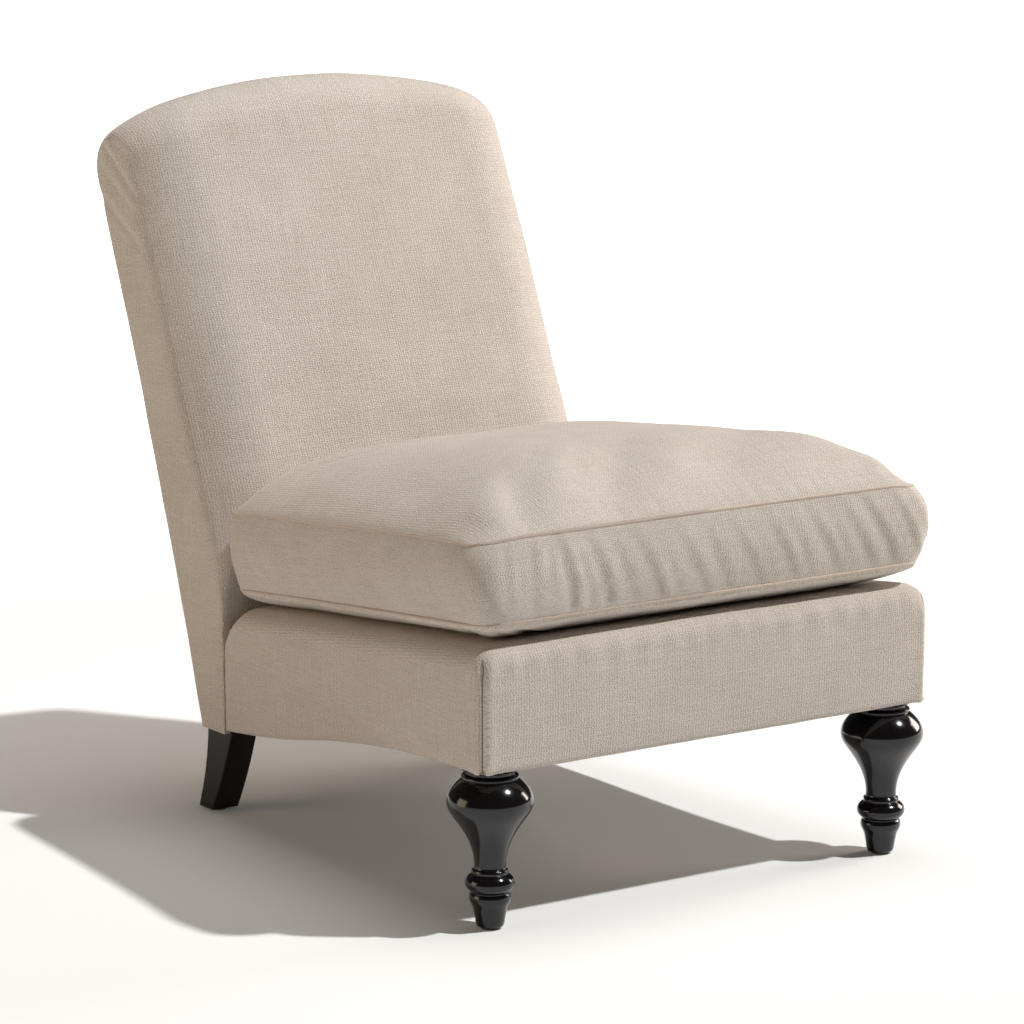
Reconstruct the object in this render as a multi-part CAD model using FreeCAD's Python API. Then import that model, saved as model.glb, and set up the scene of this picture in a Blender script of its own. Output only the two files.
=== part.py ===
import FreeCAD, Part
import math
import os

# Armless slipper chair: hardwood frame, webbed seat and back, fixed upholstery,
# turned front legs, swept back legs and a loose boxed seat cushion.
# Millimetres. X runs across, Y from the apron's front face to the back, Z up from the floor.

# Seat box
front_width = 615.0
back_width = 532.0
seat_depth = 585.0
apron_bottom = 180.0
apron_height = 138.0
seat_pitch = 6.0
apron_edge_radius = 18.0
side_turn_depth = 370.0
side_turn_drop = 38.0
side_rear_drop = 71.0
deck_border = 75.0
apron_return = 20.0

# Back
crest_height = 840.0
crest_arch_radius = 945.0
back_rake = 23.1
back_knee_height = 377.0
back_bottom_height = 104.0
back_bottom_depth = 55.0
outside_back_radius = 4000.0
outside_back_lean = 14.8
edge_round_across = 42.0
edge_round_deep = 40.0
crest_round_drop = 45.0
edge_round_steps = 4
crest_steps = 2
outside_back_top_margin = 62.0

# Covers and padding
cover_thickness = 1.6
side_wadding = 5.4
back_wadding = 3.4
deck_foam_thickness = 24.0
back_foam_thickness = 75.0
crest_padding = 24.0
dust_cover_thickness = 0.8
dust_cover_margin = 12.0

# Frame timber
rail_thickness = 28.0
side_rail_thickness = 24.0
leg_block_size = 70.0
post_thickness = 36.0
crest_rail_thickness = 30.0
crest_rail_height = 112.0
crest_rail_corner = 45.0
lower_rail_thickness = 22.0
lower_rail_height = 60.0
lower_rail_gap = 14.0
rear_rail_thickness = 26.0
rear_rail_inset = 11.0
rear_rail_lift = 8.0
corner_block_leg = 60.0
corner_block_margin = 4.0

# Swept back legs
sabre_top_depth = 53.0
sabre_foot_depth = 31.0
sabre_sweep = 45.0
sabre_front_lean = 18.0
sabre_rear_lean = 3.0

# Turned front legs
leg_inset_side = 36.5
leg_inset_front = 36.0
leg_bulb_radius = 47.4
leg_bulb_height = 140.0
leg_plate_radius = 31.5
leg_plate_drop = 4.0
leg_neck_radius = 26.5
leg_ring_radius = 31.0
leg_waist_radius = 17.2
leg_waist_height = 73.0
leg_bead_radius = 27.4
leg_bead_height = 51.0
leg_groove_radius = 21.0
leg_groove_height = 41.0
leg_cup_radius = 22.8
leg_cup_height = 33.0
leg_foot_radius = 15.5
glide_thickness = 2.5
glide_radius = 10.0
bolt_radius = 4.0
bolt_length = 62.0
bolt_reach_up = 30.0
bolt_clearance = 0.1
plate_clearance = 0.3
insert_radius = 7.0
insert_length = 18.0
socket_spare = 4.0

# Webbing
web_width = 50.0
web_thickness = 1.8
seat_webs_long = 5
seat_webs_cross = 4
back_webs_level = 5
back_webs_upright = 3
web_rail_lap = 0.15
web_post_gap = 8.0
web_block_gap = 25.0
web_rear_gap = 45.0
web_end_gap = 3.0
web_upright_inset = 40.0

# Loose cushion, measured in its own frame lying on the deck
cushion_front_width = 608.0
cushion_back_width = 524.0
cushion_front = -8.0
cushion_rear_gap = 20.0
cushion_depth = seat_depth - cushion_front - cushion_rear_gap
cushion_rest_gap = 0.3
cushion_under_crown = 15.0
cushion_boxing = 90.0
cushion_crown = 78.0
cushion_corner_radius = 36.0
crown_steps = 6
crown_cap = 0.84
boxing_steps = 4
bow_chords = 4
corner_chords = 4
cushion_side_draw = 4.0
boxing_swell = 6.0
rear_boxing_draw = 3.0
foam_block_inset = 45.0
foam_block_gap = 8.0

# Cushion zip
zip_length = 410.0
zip_chain_width = 6.0
zip_chain_thickness = 1.6
slider_length = 11.0
slider_plate = 1.2
slider_cheek = 1.6
slider_clearance = 0.35
cheek_stand = 0.7
lug_gap = 2.4
lug_width = 1.2
lug_reach = 1.6
pull_play = 0.3
pull_neck = 6.0
thumb_radius = 1.6
pull_length = 12.0
pull_width = 6.0
pull_thickness = 1.2
pull_pin_radius = 0.8
pull_pin_clearance = 0.12
stop_length = 3.0

Vec = FreeCAD.Vector
X_AXIS = Vec(1, 0, 0)
Y_AXIS = Vec(0, 1, 0)
Z_AXIS = Vec(0, 0, 1)
REACH = 2000.0
FAR = 400.0
OVER = 50.0
SPARE = 20.0
SMALL = 0.01

pitch = math.radians(seat_pitch)
rake = math.radians(back_rake)
lean = math.radians(outside_back_lean)
deck_front = apron_bottom + apron_height
rail_lift = cover_thickness
side_inset = cover_thickness + side_wadding
side_slope = (front_width - back_width) / 2 / seat_depth
post_outer = back_width / 2 - side_inset
post_inner = post_outer - post_thickness


# Plain geometry helpers
def unit(vector):
    return Vec(vector) * (1 / vector.Length)


def line(start, end):
    return Part.LineSegment(start, end).toShape()


def arc(start, middle, end):
    return Part.Arc(start, middle, end).toShape()


def tangent_arc(start, heading, end):
    chord = end - start
    along = unit(chord)
    aside = unit(heading - along * heading.dot(along))
    rise = chord.Length / 2 * math.tan(heading.getAngle(chord) / 2)
    return arc(start, start + chord * 0.5 + aside * rise, end)


def heading_after(start, heading, end):
    along = unit(end - start)
    return along * (2 * heading.dot(along)) - heading


def profile(edges, sweep):
    return Part.Face(Part.Wire(edges)).extrude(sweep)


def polygon(points, sweep):
    closed = list(points) + [points[0]]
    return profile([line(a, b) for a, b in zip(closed, closed[1:])], sweep)


def across(edges_at, low, high):
    return profile(edges_at(low), Vec(high - low, 0, 0))


def side_polygon(pairs, low, high):
    return polygon([Vec(low, y, z) for y, z in pairs], Vec(high - low, 0, 0))


def block(low, high):
    return Part.makeBox(high.x - low.x, high.y - low.y, high.z - low.z, low)


def mirrored(shape):
    return shape.mirror(Vec(0, 0, 0), X_AXIS)


def faceted(outlines):
    """Solid through closed outlines of equally many points, with flat faces between them."""
    faces = [Part.Face(outlines[0]), Part.Face(outlines[-1])]
    rings = [[vertex.Point for vertex in outline.OrderedVertexes] for outline in outlines]
    for low, high in zip(rings, rings[1:]):
        for index in range(len(low)):
            after = (index + 1) % len(low)
            quad = [low[index], low[after], high[after], high[index]]
            normal = unit((quad[1] - quad[0]).cross(quad[3] - quad[0]))
            flat = abs(normal.dot(quad[2] - quad[0])) < SMALL * SMALL
            pieces = [quad] if flat else [quad[:3], [quad[0], quad[2], quad[3]]]
            faces += [Part.Face(Part.makePolygon(piece + piece[:1])) for piece in pieces]
    shell = Part.makeShell(faces)
    shell.sewShape()
    body = Part.makeSolid(shell)
    return body if body.Volume > 0 else body.reversed()


def solids(shape):
    return Part.makeCompound(shape.Solids) if len(shape.Solids) > 1 else shape.Solids[0]


# Seat box: a trapezoid in plan, a pitched deck and a curved lower side edge
def half_width(y):
    return front_width / 2 - side_slope * y


def deck_height(y, below=0.0):
    return deck_front - math.tan(pitch) * y - below / math.cos(pitch)


def plan_prism(inset, rear):
    front = [(-half_width(inset) + inset, inset), (half_width(inset) - inset, inset)]
    back = [(half_width(rear) - inset, rear), (-half_width(rear) + inset, rear)]
    return polygon([Vec(x, y, 0) for x, y in front + back], Vec(0, 0, deck_front + 100))


def lower_edges(x, raised, front, rear):
    start = Vec(x, 0, apron_bottom + raised)
    turn = Vec(x, side_turn_depth, apron_bottom - side_turn_drop + raised)
    corner = Vec(x, seat_depth, apron_bottom - side_rear_drop + raised)
    foot = Vec(x, seat_depth + back_bottom_depth, back_bottom_height + raised)
    second = heading_after(start, Y_AXIS, turn)
    edges = [tangent_arc(start, Y_AXIS, turn), tangent_arc(turn, second, corner)]
    if front < 0:
        edges.insert(0, line(Vec(x, front, start.z), start))
    if rear > seat_depth:
        slope = (foot.z - corner.z) / (foot.y - corner.y)
        edges.append(line(corner, Vec(x, rear, corner.z + slope * (rear - corner.y))))
    return edges


def above_lower_edge(raised, top_edges, front, rear):
    """Solid between the curved lower edge and a chain of top edges, across the whole width."""
    def edges_at(x):
        low = lower_edges(x, raised, front, rear)
        top = top_edges(x)
        first = low[0].Vertexes[0].Point
        last = low[-1].Vertexes[-1].Point
        return low + [line(last, top[0].Vertexes[0].Point)] + top + [line(top[-1].Vertexes[-1].Point, first)]
    return across(edges_at, -REACH / 2, REACH / 2)


def seat_form(inset, raised, rear):
    """Outer form of the fixed seat, or that form drawn in by an inset."""
    def top_edges(x):
        return [line(Vec(x, rear, deck_height(rear, inset)), Vec(x, -50, deck_height(-50, inset)))]

    body = above_lower_edge(raised, top_edges, -50, rear).common(plan_prism(inset, rear))
    rounded = []
    for edge in body.Edges:
        middle = edge.valueAt((edge.FirstParameter + edge.LastParameter) / 2)
        on_side = abs(abs(middle.x) - (half_width(middle.y) - inset)) < SMALL
        on_front = abs(middle.y - inset) < SMALL and abs(middle.x) < SMALL
        on_deck = abs(middle.z - deck_height(middle.y, inset)) < SMALL
        if on_deck and (on_front or (on_side and middle.y > inset + SMALL)):
            rounded.append(edge)
    return body.makeFillet(apron_edge_radius - inset, rounded)


# Back: a raked pad whose front line, rolled crest and rear curve are tangent
face_line = Vec(0, math.sin(rake), math.cos(rake))
face_in = Vec(0, math.cos(rake), -math.sin(rake))
knee = Vec(0, seat_depth, back_knee_height)
rear_foot = Vec(0, seat_depth + back_bottom_depth, back_bottom_height)
rear_centre = rear_foot + Vec(0, math.cos(lean), -math.sin(lean)) * outside_back_radius


def back_point(run, depth, x=0.0):
    """Point at a run up the raked face line and a depth behind it."""
    return knee + face_line * run + face_in * depth + X_AXIS * x


def roll_radius(run, face_inset, rear_inset):
    start = back_point(run, face_inset) - rear_centre
    radius = outside_back_radius + rear_inset
    return (start.dot(start) - radius ** 2) / (2 * (radius - start.dot(face_in)))


def roll_at(top, face_inset, rear_inset):
    """Run and radius of the rolled crest that reaches a given height."""
    low, high = 0.0, 3 * crest_height
    for _ in range(50):
        run = (low + high) / 2
        radius = roll_radius(run, face_inset, rear_inset)
        if back_point(run, face_inset + radius).z + radius < top:
            low = run
        else:
            high = run
    return run, radius


def depth_of_rear(run, rear_inset):
    start = back_point(run, 0) - rear_centre
    slant = start.dot(face_in)
    radius = outside_back_radius + rear_inset
    return -slant - math.sqrt(slant ** 2 - start.dot(start) + radius ** 2)


def crest_line(x):
    return crest_height - crest_arch_radius + math.sqrt(crest_arch_radius ** 2 - x ** 2)


def rear_arc(x, low_z, high, rear_inset):
    """Points of the outside back curve between a low height and its upper end."""
    radius = outside_back_radius + rear_inset
    low = Vec(x, rear_centre.y - math.sqrt(radius ** 2 - (low_z - rear_centre.z) ** 2), low_z)
    hub = Vec(x, rear_centre.y, rear_centre.z)
    middle = hub + unit((low + high) * 0.5 - hub) * radius
    return low, middle


def back_section(x, inset, soft_front, soft_top, bottom):
    """Closed side profile of the back at one distance across."""
    face_inset = inset + soft_front
    top = crest_line(x) - inset - soft_top
    run, radius = roll_at(top, face_inset, inset)
    centre = back_point(run, face_inset + radius, x)
    front = back_point(run, face_inset, x)
    hub = Vec(x, rear_centre.y, rear_centre.z)
    rear = centre + unit(hub - centre) * radius
    crown = centre + Z_AXIS * radius
    over = centre + unit(unit(front - centre) + Z_AXIS) * radius
    behind = centre + unit(unit(rear - centre) + Z_AXIS) * radius
    upper = centre + unit(unit(behind - centre) + Z_AXIS) * radius
    lower = centre + unit(unit(behind - centre) + unit(rear - centre)) * radius
    wall = seat_depth + inset
    knee_z = front.z - (front.y - wall) / math.tan(rake)
    low, middle = rear_arc(x, bottom, rear, inset)
    base = Vec(x, wall, bottom)
    bend = Vec(x, wall, knee_z)
    return Part.Wire([
        line(base, bend),
        line(bend, front),
        arc(front, over, crown),
        arc(crown, upper, behind),
        arc(behind, lower, rear),
        arc(rear, middle, low),
        line(low, base),
    ])


def back_form(inset, bottom):
    """Outer form of the padded back, or that form drawn in by an inset."""
    half = back_width / 2 - inset
    scale = 1 - inset / edge_round_across
    stations = []
    for step in range(edge_round_steps + 1):
        angle = math.pi / 2 * step / edge_round_steps
        reach = edge_round_across * scale * (1 - math.cos(angle))
        left = 1 - math.sin(angle)
        stations.append((half - reach, edge_round_deep * scale * left, crest_round_drop * scale * left))
    flat = stations[-1][0]
    for step in range(1, crest_steps):
        stations.append((flat * (1 - step / crest_steps), 0.0, 0.0))
    middle = [(0.0, 0.0, 0.0)]
    rest = [(-x, front, top) for x, front, top in reversed(stations)]
    wires = [back_section(x, inset, front, top, bottom) for x, front, top in stations + middle + rest]
    return Part.makeLoft(wires, True, True)


centre_run, centre_roll = roll_at(crest_height, 0.0, 0.0)
crest_rear = back_foam_thickness + crest_rail_thickness
crest_top_run = centre_run + math.sqrt(centre_roll ** 2 - (crest_rear - centre_roll) ** 2) - crest_padding
post_top_run = crest_top_run - crest_rail_height
rear_pad = cover_thickness + back_wadding
frame_line_drop = cover_thickness + deck_foam_thickness
long_web_drop = frame_line_drop + 2 * web_thickness
cross_web_drop = frame_line_drop + web_thickness


# Back posts, each one piece with its swept leg
def post_front_y(z):
    return back_point(0, back_foam_thickness).y + (z - back_point(0, back_foam_thickness).z) * math.tan(rake)


sabre_rear_y = rear_arc(0, back_bottom_height, back_point(0, 100), rear_pad)[0].y
sabre_front = Vec(0, sabre_rear_y - sabre_top_depth, back_bottom_height)
foot_front = Vec(0, sabre_front.y + sabre_sweep, glide_thickness)
half_rake = math.tan(rake / 2)
join_z = (sabre_front.y - half_rake * sabre_front.z - post_front_y(0)) / (math.tan(rake) - half_rake)
post_join = Vec(0, post_front_y(join_z), join_z)


def post_profile(x):
    shift = X_AXIS * x
    foot_rear = foot_front + Y_AXIS * sabre_foot_depth
    top_front = back_point(post_top_run, back_foam_thickness)
    top_rear = back_point(post_top_run, depth_of_rear(post_top_run, rear_pad))
    low, middle = rear_arc(0, back_bottom_height, top_rear, rear_pad)
    front_angle = math.radians(sabre_front_lean)
    rear_angle = math.radians(sabre_rear_lean)
    down_front = Vec(0, math.sin(front_angle), -math.cos(front_angle))
    down_rear = Vec(0, math.sin(rear_angle), -math.cos(rear_angle))
    return [
        tangent_arc(sabre_front + shift, down_front, foot_front + shift),
        line(foot_front + shift, foot_rear + shift),
        tangent_arc(low + shift, down_rear, foot_rear + shift),
        arc(low + shift, middle + shift, top_rear + shift),
        line(top_rear + shift, top_front + shift),
        line(top_front + shift, post_join + shift),
        tangent_arc(sabre_front + shift, Z_AXIS, post_join + shift),
    ]


def make_back_post():
    edges = Part.__sortEdges__(post_profile(post_inner))
    return profile(edges, X_AXIS * post_thickness)


def make_crest_rail():
    half = post_outer
    drop = crest_arch_radius - math.sqrt(crest_arch_radius ** 2 - (half - crest_rail_corner) ** 2)

    def at(x, run):
        return back_point(run, back_foam_thickness, x)

    shoulder = crest_top_run - drop
    side = shoulder - crest_rail_corner
    slant = crest_rail_corner * (1 - math.sqrt(0.5))
    round_start = half - crest_rail_corner
    outline = [
        line(at(-half, post_top_run), at(half, post_top_run)),
        line(at(half, post_top_run), at(half, side)),
        arc(at(half, side), at(half - slant, shoulder - slant), at(round_start, shoulder)),
        arc(at(round_start, shoulder), at(0, crest_top_run), at(-round_start, shoulder)),
        arc(at(-round_start, shoulder), at(-half + slant, shoulder - slant), at(-half, side)),
        line(at(-half, side), at(-half, post_top_run)),
    ]
    return profile(outline, face_in * crest_rail_thickness)


def make_lower_back_rail():
    base = (deck_height(seat_depth, 0) - knee.z) / math.cos(rake)
    start = base + back_foam_thickness * math.tan(rake) + lower_rail_gap - deck_foam_thickness / 2
    corners = [(start, 0), (start + lower_rail_height, 0)]
    corners += [(run, lower_rail_thickness) for run, _ in reversed(corners)]
    points = [back_point(run, back_foam_thickness + depth, -post_inner) for run, depth in corners]
    return polygon(points, X_AXIS * (2 * post_inner))


# Seat rails
def rail_slab(top_drop):
    rear = seat_depth + back_bottom_depth

    def top_edges(x):
        return [line(Vec(x, rear, deck_height(rear, top_drop)), Vec(x, -50, deck_height(-50, top_drop)))]

    return above_lower_edge(rail_lift, top_edges, -50, rear)


leg_x = half_width(0) - leg_inset_side
leg_y = leg_inset_front
block_inner = half_width(0) - side_inset - leg_block_size
block_rear = side_inset + leg_block_size
leg_top = apron_bottom + rail_lift


def leg_hole(radius, height):
    return Part.makeCylinder(radius, height, Vec(leg_x, leg_y, leg_top - SMALL), Z_AXIS)


def make_front_rail(slab):
    window = block(Vec(-block_inner, side_inset, 0), Vec(block_inner, side_inset + rail_thickness, REACH))
    return slab.common(window)


def make_leg_block(slab):
    window = block(Vec(block_inner, side_inset, 0), Vec(front_width, block_rear, REACH))
    stump = slab.common(window).common(plan_prism(side_inset, seat_depth))
    seat_foot = Vec(leg_x, leg_y, leg_top - block_rear)
    seat = Part.makeCylinder(leg_plate_radius + plate_clearance, block_rear, seat_foot, Z_AXIS)
    stump = stump.cut(seat)
    stump = stump.cut(leg_hole(bolt_radius + bolt_clearance, bolt_reach_up + socket_spare))
    return stump.cut(leg_hole(insert_radius, insert_length + SMALL))


def make_side_rail(slab, post):
    rear = post_join.y - 2
    window = block(Vec(0, block_rear, 0), Vec(front_width, rear, REACH))
    ring = plan_prism(side_inset, rear + 1).cut(plan_prism(side_inset + side_rail_thickness, rear + 2))
    return slab.common(window).common(ring).cut(post)


def make_rear_rail():
    front = sabre_front.y + rear_rail_inset
    rear = front + rear_rail_thickness
    low = back_bottom_height + rear_rail_lift
    points = [(front, low), (rear, low)]
    points += [(y, deck_height(y, long_web_drop)) for y in (rear, front)]
    return side_polygon(points, -post_inner, post_inner)


def make_corner_block(rear_rail, post):
    front = rear_rail.BoundBox.YMin
    ahead = front - corner_block_leg
    low = apron_bottom - side_rear_drop + corner_block_margin * 2
    high = deck_height(front, long_web_drop) - corner_block_margin
    outer = half_width(front) - side_inset - side_rail_thickness
    outer_ahead = half_width(ahead) - side_inset - side_rail_thickness
    inner = outer - corner_block_leg
    points = [Vec(inner, front, low), Vec(outer, front, low), Vec(outer_ahead, ahead, low)]
    return polygon(points, Vec(0, 0, high - low)).cut(post)


# Turned front leg, with its plate against the seat frame
def make_front_leg():
    def at(radius, z):
        return Vec(radius, 0, z)

    plate_low = apron_bottom - leg_plate_drop
    neck_low = plate_low - 4
    ring_low = neck_low - 6
    bulb_top = at(leg_ring_radius - 1.5, ring_low)
    bulb = at(leg_bulb_radius, leg_bulb_height)
    under = at(leg_bulb_radius * 0.8, leg_bulb_height - 19)
    waist = at(leg_waist_radius, leg_waist_height)
    bead = at(leg_bead_radius, leg_bead_height)
    groove = at(leg_groove_radius, leg_groove_height)
    cup = at(leg_cup_radius, leg_cup_height)
    foot_edge = glide_thickness + 3
    flare = at(leg_groove_radius + 1, leg_bead_height + 9)
    cup_low = at(leg_foot_radius + 3, leg_cup_height - 9)
    turnings = [
        (arc(at(leg_neck_radius, neck_low), at(leg_ring_radius, neck_low - 3), bulb_top), 2),
        (arc(bulb_top, at(leg_bulb_radius - 3.3, leg_bulb_height + 12), bulb), 3),
        (arc(bulb, at(leg_bulb_radius - 2.2, leg_bulb_height - 9), under), 2),
        (arc(under, at(leg_waist_radius + 7.6, leg_bulb_height - 40), waist), 3),
        (arc(waist, at(leg_waist_radius + 0.6, leg_waist_height - 5), flare), 1),
        (arc(flare, bead, groove), 3),
        (arc(groove, cup, cup_low), 2),
    ]
    outline = [at(0, leg_top), at(leg_plate_radius, leg_top), at(leg_plate_radius, plate_low),
               at(leg_neck_radius, plate_low), at(leg_neck_radius, neck_low)]
    for edge, steps in turnings:
        outline += edge.discretize(steps + 1)[1:]
    outline += [at(leg_foot_radius, foot_edge), at(leg_foot_radius - 2.5, glide_thickness)]
    outline.append(at(0, glide_thickness))
    rim = [line(start, end) for start, end in zip(outline, outline[1:] + outline[:1])]
    turned = Part.Face(Part.Wire(rim)).revolve(Vec(0, 0, 0), Z_AXIS, 360)
    turned.translate(Vec(leg_x, leg_y, 0))
    depth = bolt_length - bolt_reach_up
    return turned.cut(Part.makeCylinder(bolt_radius, depth + 1, Vec(leg_x, leg_y, leg_top - depth), Z_AXIS))


def make_leg_bolt():
    low = leg_top - bolt_length + bolt_reach_up
    return Part.makeCylinder(bolt_radius, bolt_length, Vec(leg_x, leg_y, low), Z_AXIS)


def make_leg_insert():
    base = Vec(leg_x, leg_y, leg_top)
    sleeve = Part.makeCylinder(insert_radius, insert_length, base, Z_AXIS)
    return sleeve.cut(Part.makeCylinder(bolt_radius, insert_length, base, Z_AXIS))


def make_glides():
    rear = Vec((post_inner + post_outer) / 2, foot_front.y + sabre_foot_depth / 2, 0)
    spots = [Vec(leg_x, leg_y, 0), rear]
    glides = []
    for spot in spots:
        for side in (-1, 1):
            base = Vec(side * spot.x, spot.y, 0)
            glides.append(Part.makeCylinder(glide_radius, glide_thickness, base, Z_AXIS))
    return Part.makeCompound(glides)


# Webbing
def pitched_strip(x_low, x_high, y_low, y_high, drop):
    points = [(y_low, deck_height(y_low, drop)), (y_high, deck_height(y_high, drop))]
    points += [(y, deck_height(y, drop - web_thickness)) for y in (y_high, y_low)]
    return side_polygon(points, x_low, x_high)


def make_long_webs(rear_rail):
    front = side_inset + rail_thickness * web_rail_lap
    rear = rear_rail.BoundBox.YMax - rear_rail_thickness * web_rail_lap
    span = 2 * (post_inner - web_width / 2 - web_post_gap)
    strips = []
    for index in range(seat_webs_long):
        centre = -span / 2 + span * index / (seat_webs_long - 1)
        strips.append(pitched_strip(centre - web_width / 2, centre + web_width / 2, front, rear, long_web_drop))
    return Part.makeCompound(strips)


def make_cross_webs():
    first = block_rear + web_block_gap
    last = seat_depth - web_width - web_rear_gap
    strips = []
    for index in range(seat_webs_cross):
        y = first + (last - first) * index / (seat_webs_cross - 1)
        reach = half_width(y + web_width) - side_inset - web_end_gap
        strips.append(pitched_strip(-reach, reach, y, y + web_width, cross_web_drop))
    return Part.makeCompound(strips)


def raked_strip(x_low, x_high, run_low, run_high, depth):
    corners = [(run_low, depth), (run_high, depth)]
    corners += [(run, depth - web_thickness) for run, _ in reversed(corners)]
    return polygon([back_point(run, deep, x_low) for run, deep in corners], X_AXIS * (x_high - x_low))


def make_level_back_webs(first, last):
    reach = post_outer - web_end_gap
    strips = []
    for index in range(back_webs_level):
        run = first + (last - first - web_width) * index / (back_webs_level - 1)
        strips.append(raked_strip(-reach, reach, run, run + web_width, back_foam_thickness))
    return Part.makeCompound(strips)


def make_upright_back_webs(first, last):
    span = 2 * (post_inner - web_width / 2 - web_upright_inset)
    depth = back_foam_thickness - web_thickness
    strips = []
    for index in range(back_webs_upright):
        centre = -span / 2 + span * index / (back_webs_upright - 1)
        strips.append(raked_strip(centre - web_width / 2, centre + web_width / 2, first, last, depth))
    return Part.makeCompound(strips)


# Fixed upholstery of the seat
def seat_shell(posts):
    outer = seat_form(0.0, 0.0, seat_depth)
    inner = seat_form(cover_thickness, cover_thickness, seat_depth + SPARE)
    opening = plan_prism(apron_return, seat_depth + SPARE)
    shell = outer.cut(inner).cut(opening.common(below_returns())).cut(leg_plate_holes())
    for post in posts:
        shell = shell.cut(post)
    return shell


def below_returns():
    """Everything up to just inside the covers' lower returns, for opening the underside."""
    def edges_at(x):
        top = lower_edges(x, cover_thickness + 1, -OVER, seat_depth + SPARE)
        first = top[0].Vertexes[0].Point
        last = top[-1].Vertexes[-1].Point
        low_last = Vec(last.x, last.y, 0)
        low_first = Vec(first.x, first.y, 0)
        return top + [line(last, low_last), line(low_last, low_first), line(low_first, first)]

    return across(edges_at, -REACH / 2, REACH / 2)


def leg_plate_holes():
    radius = leg_plate_radius + plate_clearance
    low = apron_bottom - 4 * cover_thickness
    deep = 8 * cover_thickness
    right, left = [Part.makeCylinder(radius, deep, Vec(side * leg_x, leg_y, low), Z_AXIS) for side in (1, -1)]
    return right.fuse(left)


def deck_window():
    inset = deck_border
    rear = seat_depth
    front = [(-half_width(inset) + inset, inset), (half_width(inset) - inset, inset)]
    back = [(half_width(rear) - inset, rear), (-half_width(rear) + inset, rear)]
    low = deck_height(seat_depth, deck_foam_thickness)
    return polygon([Vec(x, y, low) for x, y in front + back], Vec(0, 0, REACH / 2))


def split_seat_shell(shell):
    window = deck_window()
    deck = shell.common(window)
    rest = shell.cut(window)
    corner = half_width(0)
    reach = 2 * deck_border
    wedge = [(-corner - OVER, -OVER), (corner + OVER, -OVER), (corner - reach, reach), (-corner + reach, reach)]
    front_zone = polygon([Vec(x, y, 0) for x, y in wedge], Vec(0, 0, REACH / 2))
    front = rest.common(front_zone)
    sides = rest.cut(front_zone)
    right = sides.common(block(Vec(0, -OVER, 0), Vec(REACH, REACH, REACH)))
    left = sides.common(block(Vec(-REACH, -OVER, 0), Vec(0, REACH, REACH)))
    return deck, front, left, right


def make_seat_padding():
    inside = seat_form(cover_thickness, 2 * cover_thickness, seat_depth)
    far = seat_depth + OVER
    split = [(-OVER, deck_height(-OVER, frame_line_drop)), (far, deck_height(far, frame_line_drop))]
    upper = side_polygon(split + [(far, REACH), (-OVER, REACH)], -REACH / 2, REACH / 2)
    deck = inside.common(upper)
    frame_zone = plan_prism(side_inset, seat_depth + SPARE)
    skirt = inside.cut(upper).cut(frame_zone).cut(leg_plate_holes())
    corner = half_width(0)
    reach = 2 * OVER
    wedge = [(-corner - OVER, -OVER), (corner + OVER, -OVER), (corner - reach, reach), (-corner + reach, reach)]
    front_zone = polygon([Vec(x, y, 0) for x, y in wedge], Vec(0, 0, REACH / 2))
    return deck, Part.makeCompound(skirt.common(front_zone).Solids + skirt.cut(front_zone).Solids)


def make_dust_cover(posts):
    rear = seat_depth + back_bottom_depth - dust_cover_margin / 2

    def edges_at(x):
        top = lower_edges(x, 0.0, -OVER, rear)
        low = lower_edges(x, -dust_cover_thickness, -OVER, rear)
        ends = [line(top[-1].Vertexes[-1].Point, low[-1].Vertexes[-1].Point)]
        ends.append(line(low[0].Vertexes[0].Point, top[0].Vertexes[0].Point))
        return Part.__sortEdges__(top + low + ends)

    sheet = across(edges_at, -REACH / 2, REACH / 2)
    turn = min(post.BoundBox.YMin for post in posts)
    corners = [(half_width(dust_cover_margin) - dust_cover_margin, dust_cover_margin),
               (half_width(turn) - dust_cover_margin, turn), (post_inner, turn), (post_inner, rear)]
    outline = [Vec(x, y, 0) for x, y in corners] + [Vec(-x, y, 0) for x, y in reversed(corners)]
    sheet = sheet.common(polygon(outline, Vec(0, 0, REACH / 2))).cut(leg_plate_holes())
    for post in posts:
        sheet = sheet.cut(post)
    return sheet


# Fixed upholstery of the back
def rear_region(inset, top_run, half):
    """Everything behind the outside back curve drawn in by an inset, up to a run."""
    top_depth = depth_of_rear(top_run, inset)

    def edges_at(x):
        top = back_point(top_run, top_depth, x)
        low, middle = rear_arc(x, back_bottom_height - 20, top, inset)
        far_top = back_point(top_run, top_depth + FAR / 2, x)
        far_low = Vec(x, low.y + FAR / 2, low.z)
        return [arc(low, middle, top), line(top, far_top), line(far_top, far_low), line(far_low, low)]

    return across(edges_at, -half, half)


def foam_region():
    drop = cross_web_drop
    far = -FAR / 2
    start = back_point(0, back_foam_thickness)
    slope = math.tan(pitch)
    level = deck_height(start.y, drop)
    run = (level - start.z) / (face_line.z + slope * face_line.y)
    low = back_point(run, back_foam_thickness)
    high = back_point(post_top_run, back_foam_thickness)
    back_high = back_point(post_top_run, FAR)
    top_far = back_point(post_top_run + FAR, FAR)
    front_far = back_point(post_top_run + FAR, far)
    front_low = Vec(0, low.y - FAR, deck_height(low.y - FAR, drop))
    points = [low, high, back_high, top_far, front_far, front_low]
    return side_polygon([(p.y, p.z) for p in points], -REACH / 2, REACH / 2)


def make_back_padding(frame_pieces):
    inside = back_form(cover_thickness, back_bottom_height + 2 * cover_thickness)
    front_zone = foam_region()
    foam = inside.common(front_zone)
    for piece in frame_pieces:
        foam = foam.cut(piece)
    lower = inside.cut(front_zone)
    middle_zone = block(Vec(-post_outer, 0, 0), Vec(post_outer, REACH, REACH))
    sides = lower.cut(middle_zone)
    rear = lower.common(rear_region(rear_pad, post_top_run, post_outer)).common(middle_zone)
    return foam, solids(sides), rear


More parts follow.
